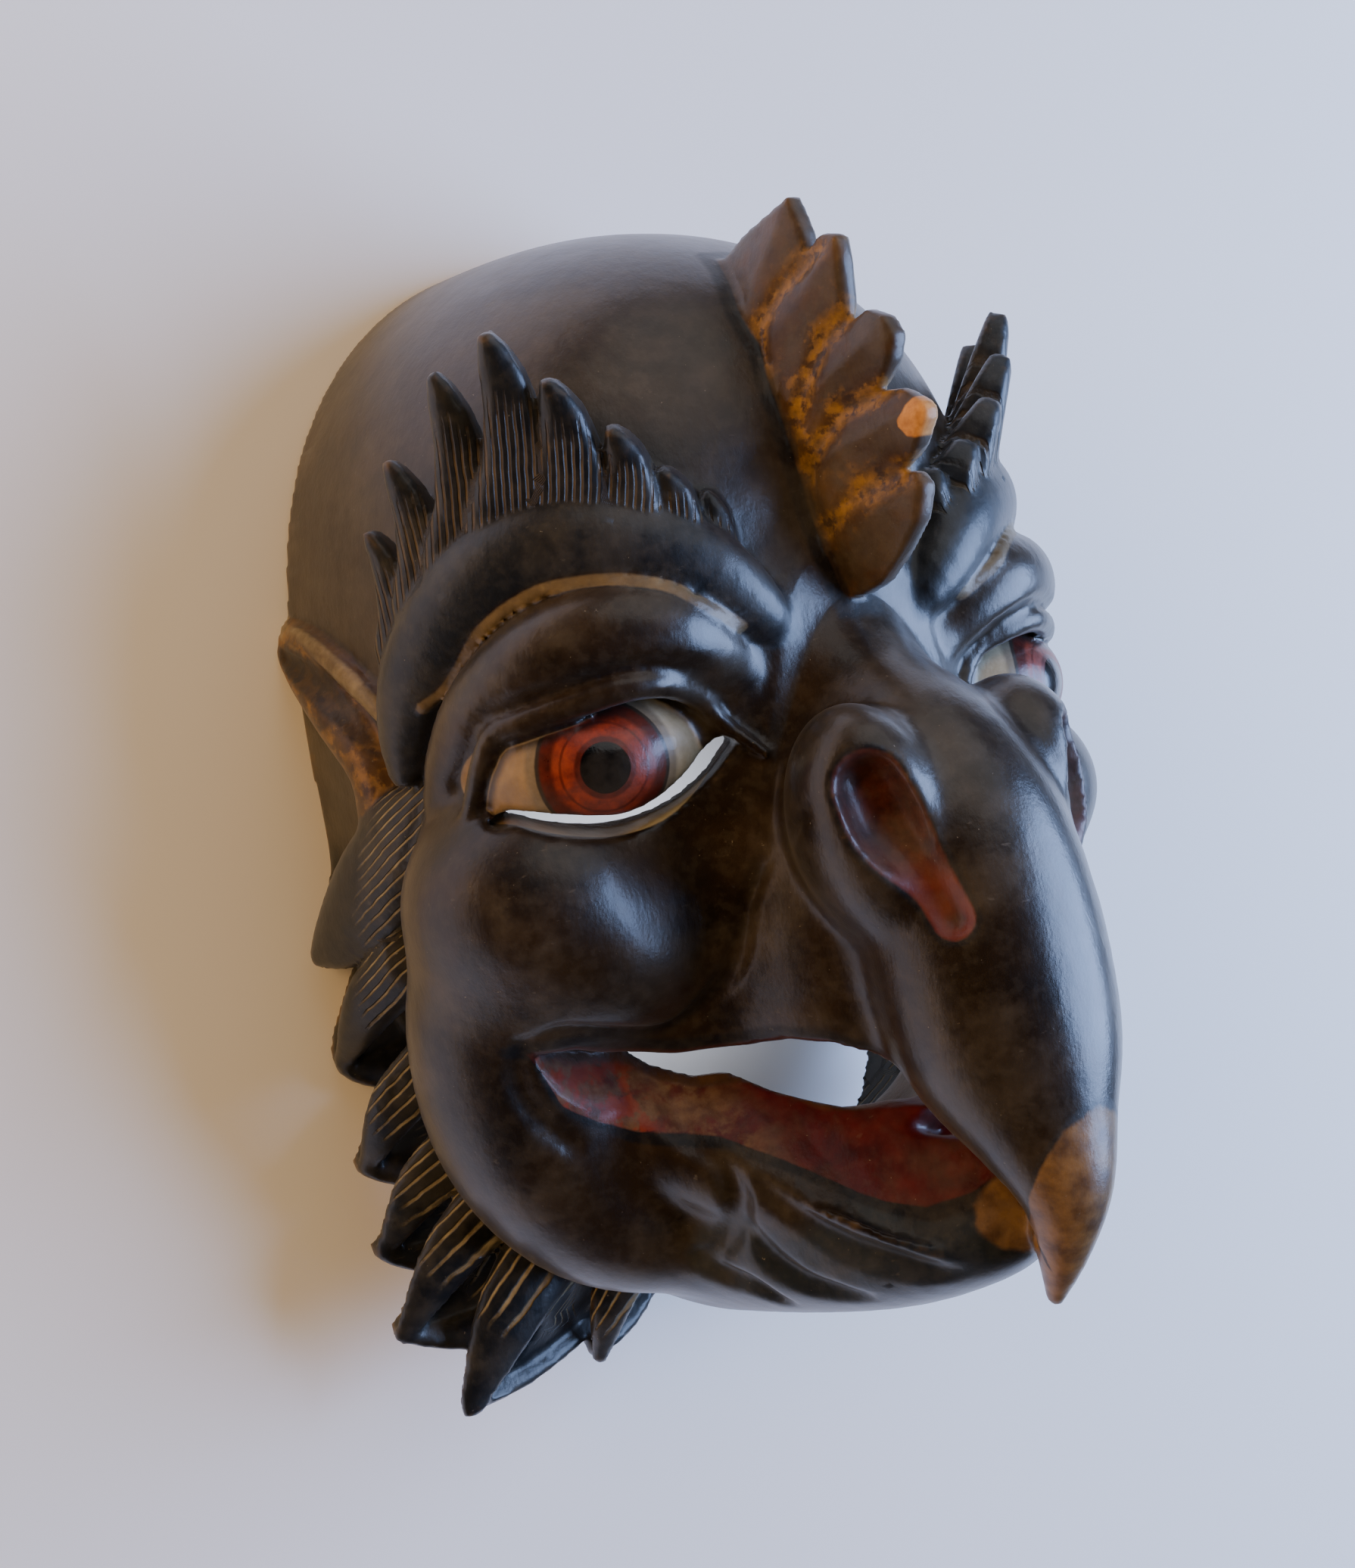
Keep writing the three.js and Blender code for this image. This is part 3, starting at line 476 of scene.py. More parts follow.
class Ruff:
    """The collar of feathers round the jaw, flat on the rim and rising inwards."""

    EDGE_HEIGHT = 4.2
    FLAT_EDGE = 4
    RISE_REACH = 26
    low = np.array([-78, -114, -10])
    high = np.array([78, 20, 56])

    def __init__(self) -> None:
        """Draws the outline of the feathers."""
        corners = [(57.7, 2.8)]
        for tip, under, notch in RUFF_FEATHERS:
            corners.append(tip)
            for t in (0.2, 0.4, 0.6, 0.8, 1.0):
                rows = zip(tip, under, notch)
                corners.append([(1 - t) ** 2 * a + 2 * t * (1 - t) * b + t * t * c for a, b, c in rows])
        corners += [(10, -95), (30, -40), (50, 20)]
        self.edge = Outline(corners)

    def distance(self, p: Array) -> Array:
        """Signed distance at points p, negative inside.

        Args:
            p: Points, n by 3, in mm.

        Returns:
            Signed distances in mm.
        """
        side = self.edge.distance(np.abs(p[:, 0]), p[:, 1])
        top = self.EDGE_HEIGHT + np.clip(-side - self.FLAT_EDGE, 0, self.RISE_REACH)
        return smooth_overlap(side * 0.9, (p[:, 2] - rim_height(p[:, 1]) - top) * 0.8, 2).astype(F32)


class Crest:
    """The standing crest of leaf lobes, thin at its edge and thicker towards its base."""

    OUTLINE = (
        (88, 60), (94, 74), (97.3, 86.7), (94, 88.2), (90.5, 89.6), (87.6, 89.8), (89.6, 93.5),
        (88.5, 97.7), (84.5, 98.2), (79.5, 98), (74.6, 98), (75.5, 102.5), (73.8, 106.6), (70.5, 108.7),
        (66.5, 107.2), (62.6, 103), (62, 108.5), (59, 113.5), (57, 114), (52.5, 111), (49, 106.5),
        (48.8, 109.5), (46.3, 111.5), (41, 109.5), (36, 104.5), (31.5, 98.5), (29.8, 93), (32, 84),
        (60, 70),
    )
    GROOVES = (
        ((87, 94), (82.8, 85), (77.4, 81), (71, 80.5)),
        ((75.4, 98.5), (72.3, 93.7), (66.5, 90.6), (60.4, 88)),
        ((62.3, 106.5), (60.6, 97), (55.9, 92.5), (51, 89)),
        ((49.4, 107.1), (47.8, 101), (41.4, 90.6)),
    )
    EDGE_HALF = 1.6
    SPREAD = 0.33
    SPREAD_REACH = 22
    GROOVE_DEPTH = 0.9
    GROOVE_WIDTH = 1.7
    low = np.array([-10, 26, 58])
    high = np.array([10, 100, 118])

    def __init__(self) -> None:
        """Draws the side view."""
        self.edge = Outline(self.OUTLINE)

    def distance(self, p: Array) -> Array:
        """Signed distance at points p, negative inside.

        Args:
            p: Points, n by 3, in mm.

        Returns:
            Signed distances in mm.
        """
        side = self.edge.distance(p[:, 1], p[:, 2])
        half = self.EDGE_HALF + self.SPREAD * np.clip(-side, 0, self.SPREAD_REACH)
        half = half - self.GROOVE_DEPTH * np.exp(-((self.groove(p) / self.GROOVE_WIDTH) ** 2))
        return smooth_overlap(side * 0.95, (np.abs(p[:, 0]) - half) * 0.93, 0.8).astype(F32)

    def groove(self, p: Array) -> Array:
        """How far points lie from the nearest groove between two lobes, seen from the side.

        Args:
            p: Points, n by 3, in mm.

        Returns:
            Distances in mm.
        """
        nearest = np.full(len(p), FAR)
        spot = p[:, 1:3]
        for line in self.GROOVES:
            ends = np.array(line, float)
            for start, step in zip(ends[:-1], np.diff(ends, axis=0)):
                t = np.clip((spot - start) @ step / (step @ step), 0, 1)[:, None]
                nearest = np.minimum(nearest, np.linalg.norm(spot - start - t * step, axis=1))
        return nearest.astype(F32)


@dataclass
class Step:
    """One carving step: a shape joined to or cut from what is there."""

    shape: Shape
    blend: float
    name: str = ""
    cuts: bool = False
    paired: bool = True


def crease_rows(path: Sequence[Point], girth: float) -> list[tuple[float, ...]]:
    """Rows of a crease that is thin at its ends.

    Args:
        path: Points x, y, z in mm.
        girth: Radius at the middle in mm.

    Returns:
        Rows x, y, z, radius.
    """
    waves = [math.sin(math.pi * (i + 0.6) / (len(path) + 0.2)) for i in range(len(path))]
    return [(*spot, girth * wave**0.7 + 0.2) for spot, wave in zip(path, waves)]


BROW_LEAVES = (
    ((27, 39, 85), (25, 49.5, 88), 9.5),
    ((33.5, 44, 83.5), (33.4, 53, 89), 11.5),
    ((40.5, 48, 80.5), (41.5, 60, 88), 13),
    ((48, 50, 75), (49.5, 68.5, 84), 15),
    ((54, 49, 68.5), (56, 77.2, 78.2), 15.5),
    ((59, 45, 60.5), (60, 73.5, 66.5), 14),
    ((62.5, 39, 52.5), (64, 62, 53.5), 12),
    ((64, 32, 45), (66.5, 51, 47), 10),
)
FEATHER_BACKS = (
    ((62, -24, 30), (68.3, -45.1, 5.8), 6.5),
    ((61, -45, 28), (70.5, -63.8, 14.2), 6),
    ((57, -60, 30), (72.4, -78.2, 20.7), 6),
    ((52, -70, 33), (73.9, -92.4, 27.1), 6.5),
    ((45, -80, 36), (66.2, -107.4, 33.8), 7.5),
    ((34, -88, 42), (38, -107.5, 33.9), 5),
)
EYEBALL = Ellipsoid((42.5, 8.5, 65.5), (21, 14.5, 21), (0, 22, 0))
BEAK_ROWS = (
    (0, 10, 90, 13), (0, -4, 103, 18), (0, -20, 109, 20), (0, -40, 114, 18.8), (0, -54, 119.3, 13),
    (0, -66, 123.5, 8), (0, -77, 122, 4.6), (0, -86.5, 119, 1.6),
)


def feather_back(root: Point, tip: Point, radius: float) -> Roll:
    """The raised back of one ruff feather.

    Args:
        root: Point at the jowl in mm.
        tip: The feather's tip in mm.
        radius: Radius at the root in mm.

    Returns:
        A flattened roll from root to tip.
    """
    start, end = np.array(root, float), np.array(tip, float)
    middle = (start + end) / 2 + (1, 2.5, 1.5)
    neck = end * 0.9 + middle * 0.1
    rows = [(*start, radius), (*middle, radius * 0.85), (*neck, radius * 0.35), (*end, 1.2)]
    return Roll(rows, 10, (0.45, 0, 1), 0.42)


class MaskForm:
    """The whole carved form as one field of distances in mm."""

    WALL = 8.0

    def __init__(self) -> None:
        """Lists the carving steps in order."""
        self.head: list[Step] = []
        self.outer: list[Step] = []
        self.inner: list[Step] = []
        self.named: dict[str, Shape] = {}
        self._head()
        self._brow_and_eye()
        self._beak()
        self._lids_and_leaves()
        self._creases_and_mouth()
        self._ruff_crest_ears()
        self._hollow()

    def _put(self, steps: list[Step], shape: Shape, blend: float, name: str = "", **how: bool) -> None:
        """Appends one step.

        Args:
            steps: The list to append to.
            shape: Its shape.
            blend: Soft seam in mm.
            name: A name for the paint, or none.
            how: cuts and paired, as in Step.
        """
        steps.append(Step(shape, blend, name, **how))
        if name:
            self.named[name] = shape

    def _head(self) -> None:
        """Skull, cheeks, jowls, muzzle and jaw: the form that the hollow follows."""
        put = self._put
        put(self.head, Skull(), 0, "skull", paired=False)
        put(self.head, Ellipsoid((52, -13, 60), (22.5, 19, 23)), 9, "cheek")
        put(self.head, Ellipsoid((43, -24, 58), (20, 16, 23.5)), 9)
        jowl = [(50, -4, 54, 15), (53, -20, 54, 18), (54, -37, 49, 19), (50, -54, 46, 19.5),
                (42, -67, 46, 19), (33, -74, 50, 17), (26, -76, 57, 13)]
        put(self.head, Roll(jowl, 30), 7, "jowl")
        muzzle = [(0, -4, 78, 26), (0, -20, 80, 28), (0, -36, 80, 27), (0, -46, 76, 25)]
        put(self.head, Roll(muzzle, 8), 9, "muzzle", paired=False)
        jaw = [(0, -77, 103, 11), (0, -78, 94, 19.5), (0, -79, 80, 27.5), (0, -80, 64, 33),
               (0, -83, 46, 35)]
        put(self.head, Roll(jaw, 16, (0, 1, 0), 0.58), 6, "jaw", paired=False)

    def _brow_and_eye(self) -> None:
        """Nose root, eyelid bulge, eyeball, the swell under the eye and the brow roll."""
        put = self._put
        put(self.outer, Ellipsoid((0, 22, 66), (22, 22, 26)), 12, "root", paired=False)
        hood = [(24, 21, 84, 4.5), (30, 25.5, 85, 6.5), (37, 28.5, 84, 8.3), (45, 28.5, 79.5, 9.3),
                (52, 25.5, 72.5, 9.3), (57.5, 19.5, 63.5, 8), (60.5, 12, 55, 5.5), (61.5, 6, 50, 3.5)]
        put(self.outer, Roll(hood, 30), 3.5, "hood")
        put(self.outer, EYEBALL, 0.8, "eye")
        put(self.outer, Ellipsoid((40, -14, 56), (20, 15, 23)), 6)
        brow = [(13, 24, 85, 2.5), (20, 30.7, 87.5, 5.3), (28, 37.4, 86.3, 7.2), (37, 42.8, 82, 8.2),
                (46, 45.2, 75.5, 8.6), (54, 42.3, 66.8, 8.4), (59.5, 35.5, 57.5, 7.8),
                (62.5, 26.6, 48.8, 6.8), (63.5, 17.3, 43, 5), (63.5, 10, 40, 3)]
        put(self.outer, Roll(brow, 30, (0.6, 0.25, 0.76), 0.72), 1.6, "brow")
        line = [(24.6, 27.8, 89.5), (28.2, 29.8, 90.2), (32.7, 32.3, 90.7), (36.3, 35, 89.1),
                (40.7, 36.8, 86.5), (44.6, 37.7, 83.3), (48.4, 38.1, 79.4), (52.3, 37.7, 75.7),
                (56, 35.6, 70.8), (58.7, 32.5, 65.9), (59.7, 29, 61.7), (60.3, 25.9, 58),
                (61.6, 23.2, 54.8), (64.1, 21, 51.9)]
        put(self.outer, Roll([(*spot, 0.9) for spot in line], 30), 0.5, "brow_line")

    def _beak(self) -> None:
        """Hooked beak, nostril wings, the tip of the jaw and the thick lip."""
        put = self._put
        put(self.outer, Roll(BEAK_ROWS, 48), 5, "beak", paired=False)
        put(self.outer, Ellipsoid((15.5, -6, 105), (12.5, 20, 14.5), (0, 6, -10)), 3, "wing")
        put(self.outer, Ellipsoid((0, -76, 102), (12, 8.5, 13)), 5, "jawtip", paired=False)
        lip = [(0, -71.9, 104, 9.5), (8, -71.5, 101, 10.5), (14, -70.5, 93, 11.5), (20, -67.9, 78.5, 12),
               (30, -61, 64.5, 12), (40, -57, 56, 11)]
        put(self.outer, Roll(lip, 15), 4, "lip")

    def _lids_and_leaves(self) -> None:
        """The crease over the eyelid, the eyelid, and the brow feathers."""
        crease = [(23, 11.2, 88.7, 0.6), (31.1, 19.7, 89.7, 1.2), (39.5, 22.7, 90.8, 1.7),
                  (46.9, 22.8, 88.2, 2), (53.8, 21, 82.8, 2.1), (59.7, 19.9, 77.1, 2),
                  (63.6, 18.8, 71.4, 1.8), (64.5, 14, 66.1, 1.5), (64.1, 7.6, 58.7, 1)]
        self._put(self.outer, Roll(crease, 27), 1.5, "lid_crease", cuts=True)
        lid = [(22.7, 6.6, 89.6, 0.8), (27.5, 12.5, 85.1, 1.5), (31.3, 17.4, 84.6, 2.1),
               (38.5, 20.3, 86.8, 2.3), (45.2, 20.9, 86, 2.4), (52.4, 19.3, 81.1, 2.4),
               (58.6, 17.3, 74.9, 2.3), (61.5, 15.8, 70.5, 2.2), (63.4, 11.4, 68.2, 2),
               (63.8, 6.5, 65.1, 1.8), (64.4, 2.7, 62.6, 1.4)]
        self._put(self.outer, Roll(lid, 33), 0.8, "lid")
        self.leaves = [BrowLeaf(*row) for row in BROW_LEAVES]
        for leaf in self.leaves:
            self._put(self.outer, leaf, 0.8)

    def _creases_and_mouth(self) -> None:
        """Nostrils, creases and folds, and the mouth."""
        nostril = [(23, 1.5, 115, 5.3), (21.4, -5, 117, 5.7), (18.8, -12, 120, 4.1), (16, -20, 122.5, 2.9)]
        self._put(self.outer, Roll(nostril, 12), 1.5, "nostril", cuts=True)
        cheek = [(28.8, -2.4, 105.5, 0.8), (26, -11, 90, 1.2), (28.6, -18.3, 86.6, 1.6),
                 (29.8, -25.9, 84.6, 1.9), (32, -32.2, 80.9, 2.1), (36.5, -37.5, 76, 2),
                 (41.9, -38.2, 73.6, 1.7), (50.9, -35.7, 73.9, 1.5), (58.4, -33.7, 72.3, 1.2),
                 (63.3, -35.8, 67.7, 1)]
        self._put(self.outer, Roll(cheek, 30), 1.0, "cheek_crease", cuts=True)
        corner = [(63.3, -35.8, 67.7, 1), (63.9, -40.4, 65.5, 1.5), (63.1, -44.6, 64.9, 1.6),
                  (60.3, -49.9, 65, 1.5), (54.8, -56, 65.4, 1)]
        self._put(self.outer, Roll(corner, 12), 2.2, "corner_crease", cuts=True)
        folds = {
            "fold_a": [(31.4, -65.4, 83.6), (28, -71.6, 90.5), (24.4, -75.8, 97.1), (19.7, -78.8, 103),
                       (14.7, -81.4, 107.6), (11.4, -81.9, 112.1)],
            "fold_b": [(31.6, -74.3, 78.8), (29.5, -80, 82.3), (26.6, -84, 86.3), (23.1, -86, 90.7),
                       (20.1, -87, 93.9)],
            "fold_c": [(34.8, -81.1, 68.4), (31.8, -84.9, 71.3), (29.1, -86.9, 75.6), (25, -90.2, 77.9)],
            "jowl_end": [(38.2, -58.6, 73.7), (35.1, -61.4, 77.9), (34.1, -66, 79.8), (33.2, -71.1, 78.8),
                         (32.6, -78.1, 72.7), (34.8, -81.6, 68.2)],
        }
        for name, path in folds.items():
            self._put(self.outer, Roll(crease_rows(path, 2.4), 3 * len(path)), 1.8, name, cuts=True)
        self._put(self.outer, MouthGap(), 1, "mouth", cuts=True, paired=False)

    def _ruff_crest_ears(self) -> None:
        """The ruff with its raised feathers, the crest, and the ears."""
        put = self._put
        put(self.outer, Ruff(), 2.5, "ruff", paired=False)
        top = [(60.5, 5, 42, 3), (63.5, -2, 35, 7.5), (66, -11, 26, 9.5), (68.5, -19, 16, 7),
               (71, -24, 8, 2.5)]
        self.feathers = [Roll(top, 16, (1, 0, 0.2), 0.5)] + [feather_back(*row) for row in FEATHER_BACKS]
        for i, feather in enumerate(self.feathers):
            put(self.outer, feather, 1.0 if i == 0 else 1.2)
        put(self.outer, Crest(), 1.5, "crest", paired=False)
        ear = [(61, 33, 1, 6), (62, 28, 10, 7), (62, 20, 19, 7), (61, 10, 27, 6.5), (60, -1, 27, 7)]
        put(self.outer, Roll(ear, 12), 1.5, "ear")
        ridge = [(63.5, 36.5, 1, 2.2), (64.5, 34.5, 10, 2.4), (64.8, 31, 19, 2.4), (64.5, 26, 28, 2.3),
                 (63.3, 20, 36, 2.2), (61.8, 12, 43, 1.6)]
        put(self.outer, Roll(ridge, 20), 0.8, "ear_ridge")
        inside = [(68, 32, 4, 1.5), (69, 29, 13, 2.6), (68.5, 24.5, 22, 2.8), (66.5, 17, 31, 2.2),
                  (63.5, 9, 39, 1.2)]
        put(self.outer, Roll(inside, 16), 1.0, "ear_hollow", cuts=True)

    def _hollow(self) -> None:
        """From behind: pockets in the hollow and the sight slits."""
        put = self._put
        put(self.inner, Ellipsoid((40, 7, 52), (19, 13, 23), (0, 20, 0)), 2, cuts=True)
        put(self.inner, Ellipsoid((0, -60, 24), (56, 34.5, 42)), 4, cuts=True, paired=False)
        slit = [(62.6, 1.5, 67.2, 0.7), (60.6, 2.2, 71, 1.2), (57.8, 1, 75.1, 1.7), (52.8, -0.4, 78.5, 2),
                (46.7, -1.3, 80.4, 2.1), (41.9, -0.4, 82.1, 2.2), (36.8, 1.9, 83.3, 2.3),
                (31.1, 5.3, 83.1, 2.2), (28, 8.2, 84.6, 1.8), (26.4, 8.8, 85.5, 1)]
        put(self.inner, Roll(slit, 30, (0.45, -0.1, 0.9), 9), 0.4, "slit", cuts=True)

    @staticmethod
    def _apply(values: Array, p: Array, steps: Sequence[Step]) -> Array:
        """Applies steps to a field sampled at points with x of zero or more.

        Args:
            values: Field so far.
            p: Points, n by 3, in mm.
            steps: Steps in order.

        Returns:
            The new field.
        """
        paired_x = np.sqrt(p[:, 0] ** 2 + F32(0.6))
        for step in steps:
            reach = step.blend + 3
            x = paired_x if step.paired else np.abs(p[:, 0])
            low, high = step.shape.low - reach, step.shape.high + reach
            near = np.flatnonzero(
                (x > low[0]) & (x < high[0]) & (p[:, 1] > low[1]) & (p[:, 1] < high[1])
                & (p[:, 2] > low[2]) & (p[:, 2] < high[2])
            )
            if not len(near):
                continue
            q = p[near].copy()
            q[:, 0] = x[near]
            d = step.shape.distance(q).astype(F32)
            if step.cuts:
                values[near] = smooth_overlap(values[near], -d, step.blend)
            else:
                values[near] = smooth_union(values[near], d, step.blend)
        return values

    def field(self, p: Array) -> Array:
        """Signed distance of the finished wood, negative inside.

        Args:
            p: Points, n by 3, in mm.

        Returns:
            Signed distances in mm.
        """
        head = self._apply(np.full(len(p), EMPTY), p, self.head)
        solid = self._apply(head.copy(), p, self.outer)
        solid = smooth_overlap(solid, -(head + F32(self.WALL)), 2)
        solid = self._apply(solid, p, self.inner)
        return np.maximum(solid, rim_height(p[:, 1]) - p[:, 2])

    def depth_in_hollow(self, p: Array) -> Array:
        """How far points lie from the skin of the head, inwards: about the wall's thickness in the hollow.

        Args:
            p: Points, n by 3, in mm.

        Returns:
            The head's field, negative inside.
        """
        return self._apply(np.full(len(p), EMPTY), p, self.head)


CORNERS = np.array([(a, b, c) for a in (0, 1) for b in (0, 1) for c in (0, 1)])
# The coarse grid has one node in this many, and a block is near the surface within this share of its size.
BLOCK = 4
NEAR_SHARE = 1.15


class Carver:
    """Turns the field into a mesh: sampled near the surface only, on one half, then mirrored."""

    def __init__(self, form: MaskForm, cell: float) -> None:
        """Keeps the form and the grid.

        Args:
            form: The field.
            cell: Fine grid cell in mm.
        """
        self.form = form
        self.cell = cell
        self.origin = np.array([-cell / 2, -120.0, -3 * cell], F32)
        span = np.array([80.0, 110.0, 136.0]) - self.origin
        self.count = (np.ceil(span / cell / BLOCK).astype(int) + 1) * BLOCK

    def _sample(self) -> Array:
        """The field on the fine grid, worked out only near the surface.

        Returns:
            Grid of distances.
        """
        coarse_count = self.count // BLOCK
        index = np.indices(coarse_count).reshape(3, -1).T
        centres = (self.origin + (index * BLOCK + (BLOCK - 1) / 2) * self.cell).astype(F32)
        coarse = self.form.field(centres)
        grid = coarse.reshape(coarse_count)
        for axis in range(3):
            grid = np.repeat(grid, BLOCK, axis)
        near = index[np.abs(coarse) < BLOCK * self.cell * NEAR_SHARE]
        block = np.indices((BLOCK,) * 3).reshape(3, -1).T
        nodes = (near[:, None] * BLOCK + block[None]).reshape(-1, 3)
        points = (self.origin + nodes * self.cell).astype(F32)
        grid[tuple(nodes.T)] = self.form.field(points)
        LOG.info("field sampled at %d of %d nodes", len(nodes), grid.size)
        return grid

    def mesh(self) -> tuple[Array, Array]:
        """Both halves as one closed mesh.

        Returns:
            Vertices in mm and quads.
        """
        grid = self._sample()
        inside = grid < 0
        n = np.array(grid.shape) - 1
        total = np.zeros(tuple(n), np.uint8)
        for a, b, c in CORNERS:
            total += inside[a : a + n[0], b : b + n[1], c : c + n[2]]
        active = np.argwhere((total > 0) & (total < 8))
        index = np.full(tuple(n), -1, np.int64)
        index[tuple(active.T)] = np.arange(len(active))
        values = np.stack([grid[tuple((active + c).T)] for c in CORNERS], 1)
        sums = np.zeros((len(active), 3))
        hits = np.zeros(len(active))
        for a in range(8):
            for axis in range(3):
                if CORNERS[a][axis]:
                    continue
                b = a + (4, 2, 1)[axis]
                cross = (values[:, a] < 0) != (values[:, b] < 0)
                t = np.where(cross, values[:, a] / np.where(cross, values[:, a] - values[:, b], 1), 0)
                spot = CORNERS[a] + t[:, None] * (CORNERS[b] - CORNERS[a])
                sums += spot * cross[:, None]
                hits += cross
        points = self.origin + (active + sums / hits[:, None]) * self.cell
        points[active[:, 0] == 0, 0] = 0
        quads = [self._quads(inside, index, axis) for axis in range(3)]
        return self._mirror(points, np.vstack(quads))

    @staticmethod
    def _quads(inside: Array, index: Array, axis: int) -> Array:
        """Quads across the grid edges along one axis.

        Args:
            inside: Which nodes are wood.
            index: Vertex of each cell.
            axis: 0, 1 or 2.

        Returns:
            Quads facing out.
        """
        step, du, dv = np.roll(np.eye(3, dtype=int), -axis, axis=0)
        spans = tuple(slice(1, n) for n in index.shape)
        shifted = tuple(slice(1 + k, n + k) for k, n in zip(step, index.shape))
        cross = np.argwhere(inside[spans] != inside[shifted]) + 1
        out = inside[tuple(cross.T)]
        ring = [cross, cross - du, cross - du - dv, cross - dv]
        quads = np.stack([index[tuple(c.T)] for c in ring], 1)
        quads = np.where(out[:, None], quads, quads[:, ::-1])
        return quads[(quads >= 0).all(1)]

    @staticmethod
    def _mirror(points: Array, quads: Array) -> tuple[Array, Array]:
        """Adds the other half, sharing the middle vertices.

        Args:
            points: Vertices with x of zero or more.
            quads: Their quads.

        Returns:
            All vertices and quads.
        """
        middle = points[:, 0] == 0
        other = np.where(middle, np.arange(len(points)), len(points) + np.cumsum(~middle) - 1)
        twins = points[~middle] * (-1, 1, 1)
        return np.vstack([points, twins]), np.vstack([quads, other[quads][:, ::-1]])


def neighbour_mean(points: Array, edges: Array) -> Array:
    """Average of each vertex's neighbours.

    Args:
        points: Values per vertex, n by k.
        edges: Pairs of vertices.

    Returns:
        Averages, n by k.
    """
    total = np.zeros_like(points)
    count = np.zeros(len(points))
    for a, b in ((0, 1), (1, 0)):
        for k in range(points.shape[1]):
            total[:, k] += np.bincount(edges[:, a], points[edges[:, b], k], len(points))
        count += np.bincount(edges[:, a], minlength=len(points))
    return total / np.maximum(count, 1)[:, None]


def mesh_arrays(mesh: bpy.types.Mesh) -> tuple[Array, Array, Array]:
    """Vertices, edges and vertex normals of a mesh.

    Args:
        mesh: The mesh.

    Returns:
        Points n by 3, edges m by 2, normals n by 3.
    """
    points = np.zeros(len(mesh.vertices) * 3, F32)
    mesh.vertices.foreach_get("co", points)
    edges = np.zeros(len(mesh.edges) * 2, np.int32)
    mesh.edges.foreach_get("vertices", edges)
    normals = np.zeros(len(mesh.vertices) * 3, F32)
    mesh.vertex_normals.foreach_get("vector", normals)
    return points.reshape(-1, 3), edges.reshape(-1, 2), normals.reshape(-1, 3)


IRIS_CENTRE = np.array([50.6, 8.8, 84.7], F32)
IRIS_TILT = math.radians(22)
# The fresh break at the crest's fourth lobe and the ochre patch on the jaw's tip.
CREST_BREAK = Ellipsoid((0, 57.6, 113.5), (8, 3.2, 5.5), (-25, 0, 0))
JAW_PATCH = Ellipsoid((0, -72.5, 115), (10, 6.5, 7.5))
# Where the lip's red ends: its height over the distance from the mask's middle.
LIP_LINE = np.array([
    (0, -66.5), (4.3, -67.4), (8.1, -69.7), (12.9, -70.9), (17.8, -69.2), (21.3, -66.1), (26.2, -62.3),
    (32.3, -58.1), (43.2, -55.7), (49.9, -52.3), (56.5, -47.7), (60, -40.3), (61.5, -36),
]).T


